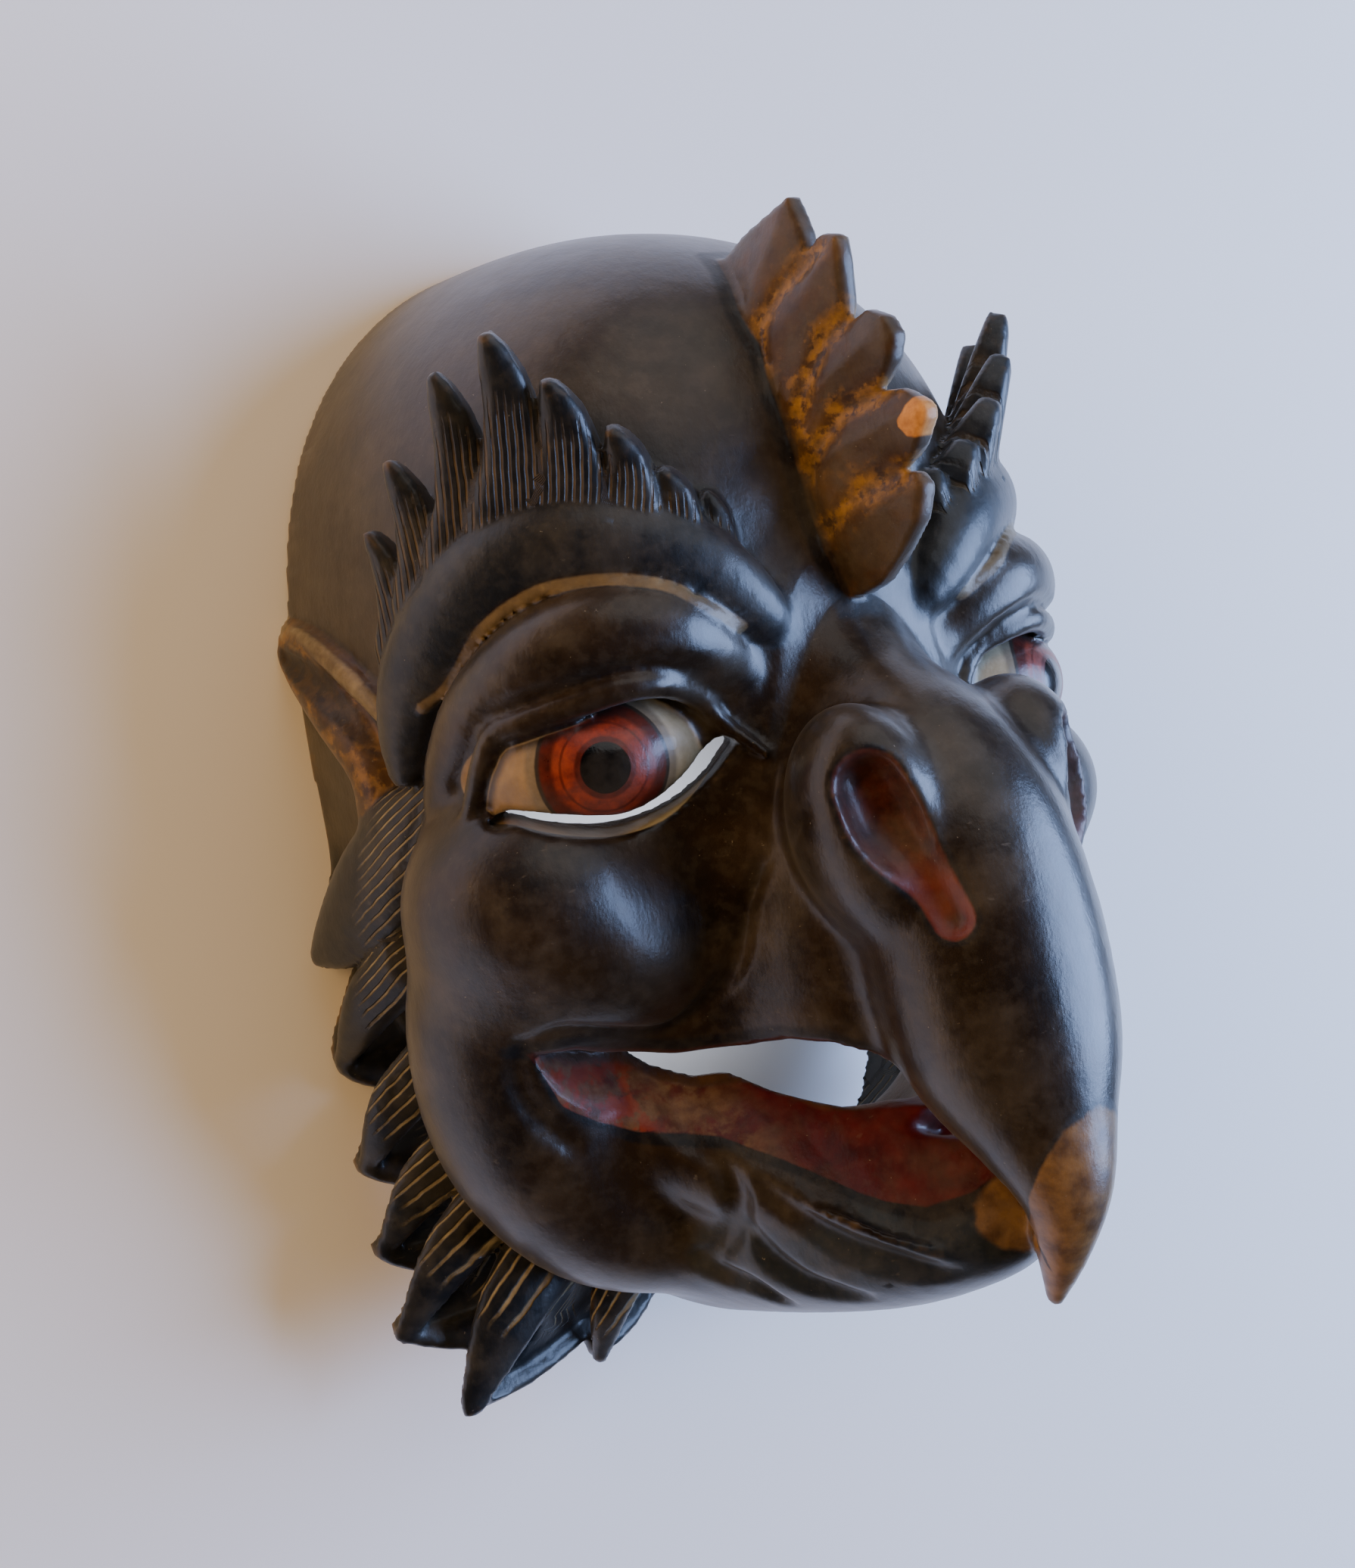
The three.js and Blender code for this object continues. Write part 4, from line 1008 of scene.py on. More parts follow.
class MaskPiece:
    """The wood itself: meshed, thinned, and given the fields that the paint follows."""

    CELL_MM = 0.9
    QUICK_CELL_MM = 1.6
    TRIANGLES = 190_000
    # Evening out by neighbours: pairs of steps in and out, so that nothing shrinks.
    SMOOTHING = (0.5, -0.52, 0.5, -0.52)
    GUIDE_LIMIT_MM = 60

    def __init__(self, form: MaskForm, shift_mm: float) -> None:
        """Keeps the form and where it stands.

        Args:
            form: The field.
            shift_mm: Shift along Y from the form's own axes to the row frame.
        """
        self.form = form
        self.shift = np.array([0, shift_mm, 0], F32)

    def build(self) -> bpy.types.Object:
        """Makes the mesh object.

        Returns:
            The mask as one mesh with its paint attributes.
        """
        cell = self.CELL_MM
        points, quads = Carver(self.form, cell).mesh()
        mesh = bpy.data.meshes.new("mask_skin")
        mesh.from_pydata((points + self.shift).tolist(), [], quads.tolist())
        _, edges, _ = mesh_arrays(mesh)
        mesh.vertices.foreach_set("co", self._smoothed(points, edges).astype(F32).ravel())
        rough = bpy.data.objects.new("mask_rough", mesh)
        bpy.context.scene.collection.objects.link(rough)
        thin = rough.modifiers.new("thin", "DECIMATE")
        thin.ratio = min(1.0, self.TRIANGLES / (2 * len(quads)))
        evaluated = rough.evaluated_get(bpy.context.evaluated_depsgraph_get())
        final = bpy.data.meshes.new_from_object(evaluated)
        bpy.data.objects.remove(rough)
        final.name = "carved_mask"
        final.shade_smooth()
        self._paint_guides(final)
        final.transform(Matrix.Diagonal((MM, MM, MM, 1)))
        piece = bpy.data.objects.new("carved_mask", final)
        bpy.context.scene.collection.objects.link(piece)
        LOG.info("mask: %d polygons", len(final.polygons))
        return piece

    def _smoothed(self, points: Array, edges: Array) -> Array:
        """Evens out the grid's steps without shrinking the form.

        Args:
            points: Vertices in mm, in the form's axes.
            edges: Pairs of vertices.

        Returns:
            Vertices in mm, in the row frame.
        """
        moved = points.astype(float)
        rim = points[:, 2] - rim_height(points[:, 1]) < 0.3
        for weight in self.SMOOTHING:
            step = (neighbour_mean(moved, edges) - moved) * weight
            step[rim, 2] = 0
            moved = moved + step
        moved[:, 2] = np.maximum(moved[:, 2], rim_height(moved[:, 1]))
        return moved + self.shift

    def _paint_guides(self, mesh: bpy.types.Mesh) -> None:
        """Writes the distances and coordinates that the paint follows, in mm.

        Args:
            mesh: The final mesh, in mm in the row frame.
        """
        points, edges, normals = mesh_arrays(mesh)
        p = points - self.shift
        p[:, 0] = np.abs(p[:, 0])
        named = self.form.named
        guides: dict[str, Array] = {}
        for name in ("cheek", "jowl", "jaw", "eye", "brow", "wing", "lid", "nostril", "crest", "ear",
                     "ear_ridge", "ear_hollow", "brow_line", "beak", "mouth", "ruff"):
            guides[name] = named[name].distance(p)
        guides["crest_groove"] = named["crest"].groove(p)
        guides["crest_break"] = CREST_BREAK.distance(p)
        guides["jaw_patch"] = JAW_PATCH.distance(p)
        guides["lip_line"] = p[:, 1] - np.interp(p[:, 0], *LIP_LINE)
        guides["beak_tip"] = (p[:, 1] + 53 + 1.7 * (132.3 - p[:, 2])) / 2
        guides["mouth_above"], guides["lip_below"] = named["mouth"].parts(p)
        guides["hollow"] = self.form.depth_in_hollow(p)
        guides["rim"] = p[:, 2] - rim_height(p[:, 1])
        across = np.array([math.cos(IRIS_TILT), 0, -math.sin(IRIS_TILT)], F32)
        guides["iris_u"] = (p - IRIS_CENTRE) @ across
        guides["iris_v"] = p[:, 1] - IRIS_CENTRE[1]
        self._feather_guides(p, guides)
        mean = neighbour_mean(points.astype(float), edges)
        for _ in range(2):
            mean = neighbour_mean(mean, edges)
        convex = ((points - mean) * normals).sum(1)
        for _ in range(2):
            convex = 0.5 * convex + 0.5 * neighbour_mean(convex[:, None], edges)[:, 0]
        guides["convex"] = convex
        for name, values in guides.items():
            layer = mesh.attributes.new(name, "FLOAT", "POINT")
            limited = np.clip(values, -self.GUIDE_LIMIT_MM, self.GUIDE_LIMIT_MM)
            layer.data.foreach_set("value", limited.astype(F32))

    def _feather_guides(self, p: Array, guides: dict[str, Array]) -> None:
        """Coordinates along and across the nearest feather, for the engraved quills.

        Args:
            p: Vertices in mm, x of zero or more.
            guides: Where to write them.
        """
        leaves = []
        for shape in self.form.leaves:
            across, along, _ = shape.local(p).T
            leaves.append((shape.distance(p), across, along / shape.length))
        feathers = []
        for roll in self.form.feathers:
            root = roll.line[0, :3]
            reach = roll.line[-1, :3] - root
            axis = unit(reach)
            side = np.cross(axis, unit((1, 0, 0.2)))
            along = (p - root) @ axis / np.linalg.norm(reach)
            feathers.append((roll.distance(p), (p - root) @ side, along))
        for name, rows in (("leaf", leaves), ("feather", feathers)):
            best = np.zeros((3, len(p)), F32)
            best[0] = self.GUIDE_LIMIT_MM
            for row in rows:
                best = np.where(row[0] < best[0], np.array(row), best)
            guides[name], guides[name + "_u"], guides[name + "_v"] = best


def linear(hex_colour: str) -> tuple[float, float, float, float]:
    """An sRGB hex colour as linear values.

    Args:
        hex_colour: Such as "#1c150c".

    Returns:
        Linear red, green, blue and alpha.
    """
    values = [int(hex_colour[i : i + 2], 16) / 255 for i in (1, 3, 5)]
    return (*[v / 12.92 if v <= 0.04045 else ((v + 0.055) / 1.055) ** 2.4 for v in values], 1.0)


class Graph:
    """A material's node tree, built from one small function."""

    def __init__(self, name: str) -> None:
        """Starts an empty material.

        Args:
            name: Its name.
        """
        self.material = bpy.data.materials.new(name)
        self.material.use_nodes = True
        self.tree = self.material.node_tree
        self.tree.nodes.clear()

    def add(self, kind: str, inputs: dict | None = None, out: int | str = 0, **settings: object) -> Socket:
        """Adds a node.

        Args:
            kind: Node type.
            inputs: Values or sockets by input name or number.
            out: The output to return.
            settings: Node settings.

        Returns:
            The chosen output socket.
        """
        node = self.tree.nodes.new(kind)
        for key, value in settings.items():
            setattr(node, key, value)
        for key, value in (inputs or {}).items():
            if isinstance(value, bpy.types.NodeSocket):
                self.tree.links.new(value, node.inputs[key])
            else:
                node.inputs[key].default_value = value
        return node.outputs[out] if len(node.outputs) else node


@dataclass(frozen=True)
class Coat:
    """A coat of paint, lacquer, dirt or wood: two tones, how rough it is and how fine its mottling is."""

    name: str
    colour: str
    other: str
    roughness: float
    mottle_mm: float = 8.0
    contrast: float = 1.0


# Old lacquer over lamp-black and umber: nearly black, olive-brown where it thins, satin from handling.
LACQUER = Coat("lacquer", "#100b06", "#261c10", 0.38, 14, 1.0)
# Lacquer on the crown and near the rim, dulled by dust and wear: flatter, and greyer partly from dust and
# partly as a painted sheen of grazing light.
HAZE_AND_SHEEN = Coat("haze_and_sheen", "#29231b", "#373026", 0.46, 14, 0.8)
# Indigo mixed with lamp-black in glue: blue-grey where the light grazes it.
INDIGO = Coat("indigo", "#090b0e", "#13171c", 0.48, 12, 0.7)
# The same dark blue on the jaw, lightened to slate blue-grey: a painted sheen of cool light.
JAW_SHEEN = Coat("jaw_sheen", "#131a23", "#202a35", 0.48, 12, 0.7)
# Brown and olive tints rubbed over the cheeks.
UMBER = Coat("umber", "#1f1207", "#2e230f", 0.38, 15, 0.7)
# Yellow ochre in glue over the crest, browned by smoke and handling.
OCHRE = Coat("ochre", "#493314", "#2d1d0c", 0.55, 7)
# The same ochre where it lies thick in the cuts: dry and golden.
GOLD = Coat("gold", "#896527", "#5d4418", 0.68, 2.5, 1.4)
# Soot and skin grease on the high places of the crest: grey-brown.
SOOT = Coat("soot", "#2c2418", "#40362a", 0.5, 6)
# Thick glossy brown-black lacquer on the beak.
BEAK_LACQUER = Coat("beak_lacquer", "#110c07", "#241b10", 0.32, 12, 0.7)
# Ochre-tan at the beak's tip, worn thin.
TAN = Coat("tan", "#76582f", "#4a3218", 0.42, 4)
# Red lead and cinnabar in glue in the nostrils and on the lips, darkest where the lacquer over it is thick.
# In the nostrils the rim is darkened with painted shade and the lower end lightened with painted light.
NOSTRIL_RED = Coat("nostril_red", "#280c07", "#421b0e", 0.5, 3)
CINNABAR = Coat("cinnabar", "#661806", "#7c2c0c", 0.5, 4)
DEEP_RED = Coat("deep_red", "#2f0503", "#480b06", 0.5, 5)
LIP_WORN = Coat("lip_worn", "#432b1a", "#5f4c39", 0.55, 2.5, 1.3)
# Chalk white gone yellow and grey, and a darker, browner cream towards the temples.
CREAM = Coat("cream", "#a9a28a", "#877c5c", 0.46, 6)
TEMPLE_CREAM = Coat("temple_cream", "#78592a", "#553a1b", 0.52, 4)
# A grey ring of painted shade round the iris, between it and the cream.
IRIS_SHADE_RING = Coat("iris_shade_ring", "#4c463c", "#6b6455", 0.4, 3)
RING_BROWN = Coat("ring_brown", "#330b05", "#511609", 0.3, 3)
IRIS_ORANGE = Coat("iris_orange", "#832c0a", "#561806", 0.45, 2.2)
PUPIL = Coat("pupil", "#030304", "#060607", 0.14, 4)
# Near-black: painted lines in the iris and beside the brow line, and painted shade round the eyeball and
# under the upper lid.
EYELINE_AND_SHADE = Coat("eyeline_and_shade", "#0b0706", "#1c100b", 0.35, 4)
BROW_QUILL = Coat("brow_quill", "#574729", "#332816", 0.6, 5)
QUILL = Coat("quill", "#958a6a", "#5e5235", 0.6, 4)
BROW_LINE = Coat("brow_line", "#6a5a3a", "#4a3c22", 0.55, 6)
# Wood laid bare: old and brown on rubbed edges, pale and clean in the fresh break of the crest.
BARE = Coat("bare_wood", "#665234", "#46331d", 0.62, 4)
FRESH = Coat("fresh_wood", "#c08a47", "#a06c30", 0.7, 1.5)
# Near-black: grime along the edge of the beak's tan tip, and painted shade in creases, recesses and under
# overhanging edges.
GRIME_AND_SHADE = Coat("grime_and_shade", "#070504", "#0f0b07", 0.6, 5)
DUST = Coat("dust", "#7a756a", "#8d887b", 0.85, 9)
HOLLOW_WOOD = Coat("hollow_wood", "#4a3522", "#2e2014", 0.72, 9)


class PaintedWood:
    """The mask's finish: coats laid over one another along the carving, then wear, grime and painted shade,
    and dust.
    """

    # Half the span of noise over which a coat's two tones change over.
    MOTTLE_HALF = 0.16

    def __init__(self) -> None:
        """Starts the tree with the object's own coordinates."""
        self.graph = Graph("painted_wood")
        self.place = self.graph.add("ShaderNodeTexCoord", out="Object")
        self.colour = None
        self.rough = None
        self.height = 0.0
        self.eye = 0.0
        self.guides: dict[str, Socket] = {}
        self.noises: dict[tuple, Socket] = {}

    def guide(self, name: str) -> Socket:
        """A guide written on the mesh.

        Args:
            name: The attribute's name.

        Returns:
            Its socket.
        """
        if name not in self.guides:
            self.guides[name] = self.graph.add("ShaderNodeAttribute", out="Fac", attribute_name=name)
        return self.guides[name]

    def noise(
        self, size_mm: float, detail: float = 4, stretch: tuple[float, float, float] = (1, 1, 1),
        seed: float = 0
    ) -> Socket:
        """Noise with lumps of a real size.

        Args:
            size_mm: Lump size in mm.
            detail: Octaves of finer lumps.
            stretch: Lumps' length along X, Y and Z.
            seed: Shifts the pattern.

        Returns:
            Values about 0.5.
        """
        key = (size_mm, detail, stretch, seed)
        if key not in self.noises:
            scale = tuple(1 / (size_mm * MM * s) for s in stretch)
            rows = {"Vector": self.place, "Location": (seed, seed * 1.7, -seed), "Scale": scale}
            moved = self.graph.add("ShaderNodeMapping", rows)
            rows = {"Vector": moved, "Scale": 1.0, "Detail": detail, "Roughness": 0.6}
            self.noises[key] = self.graph.add("ShaderNodeTexNoise", rows, out="Fac")
        return self.noises[key]

    def maths(self, operation: str, *values: Socket | float, clamp: bool = False) -> Socket:
        """One sum or comparison.

        Args:
            operation: The operation.
            values: Up to three values or sockets.
            clamp: Whether the result stays from 0 to 1.

        Returns:
            The result.
        """
        rows = dict(enumerate(values))
        return self.graph.add("ShaderNodeMath", rows, operation=operation, use_clamp=clamp)

    def _edge(
        self, value: Socket | str, limit: float, sides: Point, soft: float, wobble: float, lump_mm: float
    ) -> Socket:
        """A soft and wavering step at a limit.

        Args:
            value: Socket, or the name of a guide.
            limit: Where the step lies.
            sides: The mask below and above it.
            soft: Half the width of the step.
            wobble: How far the edge wavers.
            lump_mm: Length of the wavering.

        Returns:
            A mask from 0 to 1.
        """
        if isinstance(value, str):
            value = self.guide(value)
        if wobble:
            shift = self.maths("MULTIPLY_ADD", self.noise(lump_mm, 3, seed=0.3), 2 * wobble, -wobble)
            value = self.maths("ADD", value, shift)
        rows = {0: value, 1: limit - soft, 2: limit + soft, 3: sides[0], 4: sides[1]}
        return self.graph.add("ShaderNodeMapRange", rows, interpolation_type="SMOOTHSTEP")

    def within(
        self, value: Socket | str, limit: float, soft: float = 0.3, wobble: float = 0.0,
        lump_mm: float = 3.0,
    ) -> Socket:
        """One where a value is below a limit.

        Args:
            value: Socket, or the name of a guide.
            limit: The limit.
            soft: Half the width of the edge.
            wobble: How far the edge wavers.
            lump_mm: Length of the wavering.

        Returns:
            A mask from 0 to 1.
        """
        return self._edge(value, limit, (1.0, 0.0), soft, wobble, lump_mm)

    def past(
        self, value: Socket | str, limit: float, soft: float = 0.3, wobble: float = 0.0,
        lump_mm: float = 3.0,
    ) -> Socket:
        """One where a value is above a limit.

        Args:
            value: Socket, or the name of a guide.
            limit: The limit.
            soft: Half the width of the edge.
            wobble: How far the edge wavers.
            lump_mm: Length of the wavering.

        Returns:
            A mask from 0 to 1.
        """
        return self._edge(value, limit, (0.0, 1.0), soft, wobble, lump_mm)

    def band(
        self, value: Socket | str, low: float, high: float, soft: float = 0.3, wobble: float = 0.0
    ) -> Socket:
        """One where a value lies between two limits.

        Args:
            value: Socket, or the name of a guide.
            low: Lower limit.
            high: Upper limit.
            soft: Half the width of the edges.
            wobble: How far the edges waver.

        Returns:
            A mask from 0 to 1.
        """
        return self.every(self.past(value, low, soft, wobble), self.within(value, high, soft, wobble))

    def every(self, *masks: Socket) -> Socket:
        """Where all masks hold.

        Args:
            masks: Two or more masks.

        Returns:
            Their product.
        """
        result = masks[0]
        for mask in masks[1:]:
            result = self.maths("MULTIPLY", result, mask)
        return result

    def either(self, *masks: Socket) -> Socket:
        """Where any mask holds.

        Args:
            masks: Two or more masks.

        Returns:
            Their greatest value.
        """
        result = masks[0]
        for mask in masks[1:]:
            result = self.maths("MAXIMUM", result, mask)
        return result

    def without(self, mask: Socket) -> Socket:
        """Where a mask doesn't hold.

        Args:
            mask: A mask.

        Returns:
            One minus the mask.
        """
        return self.maths("SUBTRACT", 1.0, mask)

    def lay(self, coat: Coat, mask: Socket | None = None, strength: float = 1.0) -> None:
        """Lays a coat over what is there.

        Args:
            coat: The coat.
            mask: Where it lies, or everywhere.
            strength: How well it covers.
        """
        lumps = self.noise(coat.mottle_mm, 6, seed=1.1)
        half = self.MOTTLE_HALF / coat.contrast
        tone = self.graph.add("ShaderNodeMapRange", {0: lumps, 1: 0.5 - half, 2: 0.5 + half})
        colour = self._mix(tone, linear(coat.colour), linear(coat.other))
        if mask is None:
            self.colour, self.rough = colour, coat.roughness
            return
        if strength != 1.0:
            mask = self.maths("MULTIPLY", mask, strength)
        self.colour = self._mix(mask, self.colour, colour)
        self.rough = self.graph.add(
            "ShaderNodeMix", {"Factor": mask, 2: self.rough, 3: coat.roughness}, out=0, data_type="FLOAT")

    def _mix(self, mask: Socket, under: object, over: object) -> Socket:
        """One colour over another.

        Args:
            mask: Where the upper one lies.
            under: Lower colour.
            over: Upper colour.

        Returns:
            The mixed colour.
        """
        return self.graph.add("ShaderNodeMix", {"Factor": mask, 6: under, 7: over}, out=2, data_type="RGBA")

    def raise_by(self, mask: Socket, depth_mm: float) -> None:
        """Adds relief too fine to carve in the mesh.

        Args:
            mask: Where it stands, 0 to 1.
            depth_mm: Its height in mm, negative to sink.
        """
        self.height = self.maths("MULTIPLY_ADD", mask, depth_mm, self.height)

    def build(self) -> bpy.types.Material:
        """Lays every coat in the order that the maker and time laid them.

        Returns:
            The finished material.
        """
        self._ground()
        self._face()
        self._eyes()
        self._feathers()
        self._wear()
        self._hollow()
        fine = self.noise(0.7, 3, seed=2.2)
        self.raise_by(fine, 0.03)
        self.raise_by(self.noise(4.5, 4, stretch=(1, 2.2, 1), seed=2.9), 0.14)
        normal = self.graph.add(
            "ShaderNodeBump", {"Strength": 1.0, "Distance": MM, "Height": self.height})
        spread = self.maths("MULTIPLY_ADD", self.noise(9, 5, seed=3.3), 0.2, -0.1)
        rough = self.maths("ADD", self.rough, spread, clamp=True)
        shader = self.graph.add("ShaderNodeBsdfPrincipled", {
            "Base Color": self.colour, "Roughness": rough, "Normal": normal, "IOR": 1.5,
            "Coat Weight": 0.35, "Coat Roughness": 0.22, "Coat IOR": 1.5, "Coat Normal": normal,
            "Sheen Weight": 0.06, "Sheen Roughness": 0.4})
        self.graph.add("ShaderNodeOutputMaterial", {"Surface": shader})
        return self.graph.material

    def _axis(self, axis: int) -> Socket:
        """A coordinate of the surface.

        Args:
            axis: 0 for X, 1 for Y, 2 for Z.

        Returns:
            The coordinate in mm.
        """
        place = self.graph.add("ShaderNodeSeparateXYZ", {0: self.place}, out=axis)
        return self.maths("MULTIPLY", place, 1 / MM)

    def _ground(self) -> None:
        """Dark lacquer over all; greyed on the crown and away from the face by dust and by a painted sheen
        of grazing light.
        """
        self.lay(LACQUER)
        height = self._axis(1)
        # Dust and painted sheen: the crown and the parts near the rim are greyed as if grazing light lay on
        # them.
        crown = self.past(height, 62, soft=30, wobble=14, lump_mm=26)
        self.lay(HAZE_AND_SHEEN, crown, 0.6)
        sides = self.within("rim", 34, soft=26, wobble=14, lump_mm=24)
        self.lay(HAZE_AND_SHEEN, self.every(sides, self.past(height, -5, soft=10)), 0.45)
        rubbed = self.past(self.noise(22, 5, seed=4.7), 0.52, soft=0.1)
        self.lay(UMBER, self.every(rubbed, self.past(height, 20, soft=10)), 0.6)

    def _face(self) -> None:
        """Cheeks, jaw, beak, nostrils, mouth, crest and ears."""
        patches = self.past(self.noise(30, 3, seed=4.1), 0.5, soft=0.12)
        cheeks = self.either(self.within("cheek", 2.0, soft=2),
                             self.within("jowl", 1.0, soft=2))
        self.lay(UMBER, self.every(cheeks, patches), 0.8)
        self.lay(INDIGO, self.every(cheeks, self.without(patches)), 0.3)
        # Painted sheen: the whole jaw is lightened to the blue-grey of cool light gleaming on it.
        self.lay(JAW_SHEEN, self.within("jaw", 2.5, soft=1.5), 0.85)
        beak = self.within("beak", 1.4, soft=1.0)
        wing = self.within("wing", 1.2, soft=0.7)
        self.lay(BEAK_LACQUER, self.either(beak, wing))
        self.lay(GRIME_AND_SHADE, self.every(beak, self.within("beak_tip", 0.6, soft=0.3)), 0.5)
        self.lay(TAN, self.every(beak, self.within("beak_tip", 0.0, soft=0.25, wobble=0.5, lump_mm=4)),
                 0.92)
        nostril = self.within("nostril", 0.7, soft=0.3, wobble=0.15)
        # Painted shade in and round the nostril's cut.
        self.lay(GRIME_AND_SHADE, self.within("nostril", 1.6, soft=0.5), 0.8)
        self.lay(NOSTRIL_RED, nostril)
        # Painted light: a brighter red on the nostril's lower end, where light falls into it.
        self.lay(CINNABAR, self.every(nostril, self.within(self._axis(1), -10, soft=3)), 0.35)
        self._mouth()
        self.lay(TAN, self.within("jaw_patch", 0.0, soft=0.6, wobble=0.6), 0.62)
        self._crest_and_ears()

    def _crest_and_ears(self) -> None:
        """Ochre crest, golden in its cuts, sooty on its lobes, with one fresh break; ochre ears."""
        crest = self.within("crest", 0.7, soft=0.3, wobble=0.2)
        # Painted shade round the foot of the crest, where it meets the skull.
        self.lay(GRIME_AND_SHADE, self.band("crest", 0.5, 3.4, soft=0.6, wobble=0.5), 0.85)
        self.lay(OCHRE, crest)
        lobes = self.past("crest_groove", 3.4, soft=1.6, wobble=1.6, lump_mm=5)
        soot = self.every(crest, lobes, self.past(self.noise(9, 5, seed=6.9), 0.46, soft=0.08))
        self.lay(SOOT, soot, 0.8)
        cuts = self.within("crest_groove", 1.7, soft=1.2, wobble=1.2, lump_mm=4)
        strokes = self.past(self.noise(2.2, 6, seed=7.3), 0.47, soft=0.06)
        self.lay(GOLD, self.every(crest, cuts, strokes), 0.85)
        flecks = self.past(self.noise(5, 6, seed=8.1), 0.56, soft=0.04)
        self.lay(GOLD, self.every(crest, flecks, self.without(lobes)), 0.7)
        break_face = self.within("crest_break", 0.0, soft=0.25, wobble=0.3, lump_mm=2)
        self.lay(FRESH, self.every(crest, break_face))
        ear = self.within("ear", 0.8, soft=0.4, wobble=0.3)
        ridge = self.within("ear_ridge", 0.7, soft=0.3, wobble=0.3)
        self.lay(OCHRE, self.either(ear, ridge))
        self.lay(GOLD, self.every(ear, self.past(self.noise(4, 6, seed=8.5), 0.5, soft=0.06)), 0.6)
        # Painted shade in the ear's hollow.
        self.lay(GRIME_AND_SHADE, self.within("ear_hollow", 0.8, soft=0.6), 0.75)
        self.lay(QUILL, self.every(ridge, self.past("convex", 0.12, soft=0.08)), 0.55)

    def _mouth(self) -> None:
        """The lip: orange-red at its corners, worn in the middle, deep red by the beak, with painted shade
        under its outer edge and along the beak's edge over the opening.
        """
        outside = self.past("hollow", -4.5, soft=0.8)
        near = self.every(self.within("mouth", 3.5, soft=0.6), outside,
                          self.past("lip_below", -9, soft=1))
        lip = self.every(near, self.past("lip_line", 0.0, soft=0.3, wobble=0.3),
                         self.within("mouth_above", -0.5, soft=0.4))
        top = self.every(self.within("mouth", 0.7, soft=0.3), outside,
                         self.past("mouth_above", -1.4, soft=0.4))
        # Painted shade: a dark band under the lip's outer edge, and one on the beak's edge over the
        # opening.
        self.lay(GRIME_AND_SHADE, self.every(near, self.band("lip_line", -2.2, 0.6, soft=0.5, wobble=0.4)), 0.9)
        self.lay(GRIME_AND_SHADE, self.every(self.band("mouth", 0.6, 2.4, soft=0.5),
                                   self.past("mouth_above", -0.5, soft=0.5)), 0.8)
        self.lay(DEEP_RED, top, 0.7)
        self.lay(DEEP_RED, lip)
        side = self.maths("ABSOLUTE", self._axis(0))
        corner = self.past(side, 48, soft=5, wobble=3)
        self.lay(CINNABAR, self.every(lip, corner))
        self.lay(LIP_WORN, self.every(lip, self.past(side, 27, soft=6),
                                      self.past(self.noise(5, 6, seed=5.2), 0.45, soft=0.07)), 0.85)
        self.lay(CINNABAR, self.every(lip, self.past(side, 40, soft=4),
                                      self.past(self.noise(4, 5, seed=5.9), 0.5, soft=0.06)), 0.8)
        behind_beak = self.every(self.band(side, -1, 19, soft=2), self.within(self._axis(1), -43, soft=2),
                                 self.past("beak", 1.0, soft=0.5))
        self.lay(DEEP_RED, self.every(behind_beak, self.within("mouth", 3.5, soft=0.6),
                                      self.past("lip_line", 0.0, soft=0.3)))

    def _eyes(self) -> None:
        """Cream eyeballs, brown at the temples, with brown-red and orange rings round a black pupil, a grey
        ring of painted shade round the iris, and painted shade round the eyeball and under the upper lid.
        """
        eye = self.within("eye", 0.35, soft=0.2, wobble=0.1)
        eye = self.every(eye, self.past("lid", 0.9, soft=0.3))
        self.eye = eye
        # Painted shade in the crease round the eyeball; the cream then covers the eyeball itself.
        self.lay(EYELINE_AND_SHADE, self.within("eye", 1.2, soft=0.3), 0.8)
        self.lay(CREAM, eye)
        # Darker and browner cream towards the temples.
        self.lay(TEMPLE_CREAM, self.every(eye, self.past("iris_u", 8, soft=6, wobble=2)), 0.75)
        squares = [self.maths("POWER", self.guide(name), 2.0) for name in ("iris_u", "iris_v")]
        radius = self.maths("SQRT", self.maths("ADD", *squares))
        front = self.every(eye, self.past("hollow", -5, soft=1))
        # The outer grey ring is painted shade; the others are painted rings.
        rings = ((IRIS_SHADE_RING, 12.3, 0.5, 0.75), (EYELINE_AND_SHADE, 10.9, 0.15, 0.9), (RING_BROWN, 10.3, 0.25, 1.0),
                 (IRIS_ORANGE, 8.4, 0.5, 0.85), (RING_BROWN, 7.3, 0.12, 0.7), (IRIS_ORANGE, 6.9, 0.15, 1.0),
                 (RING_BROWN, 5.0, 0.25, 0.9), (PUPIL, 4.1, 0.15, 1.0))
        for coat, size, soft, strength in rings:
            self.lay(coat, self.every(front, self.within(radius, size, soft=soft, wobble=0.12)), strength)
        # Painted shade on the eyeball under the upper lid.
        self.lay(EYELINE_AND_SHADE, self.every(eye, self.within("lid", 2.2, soft=0.9, wobble=0.3)), 0.85)

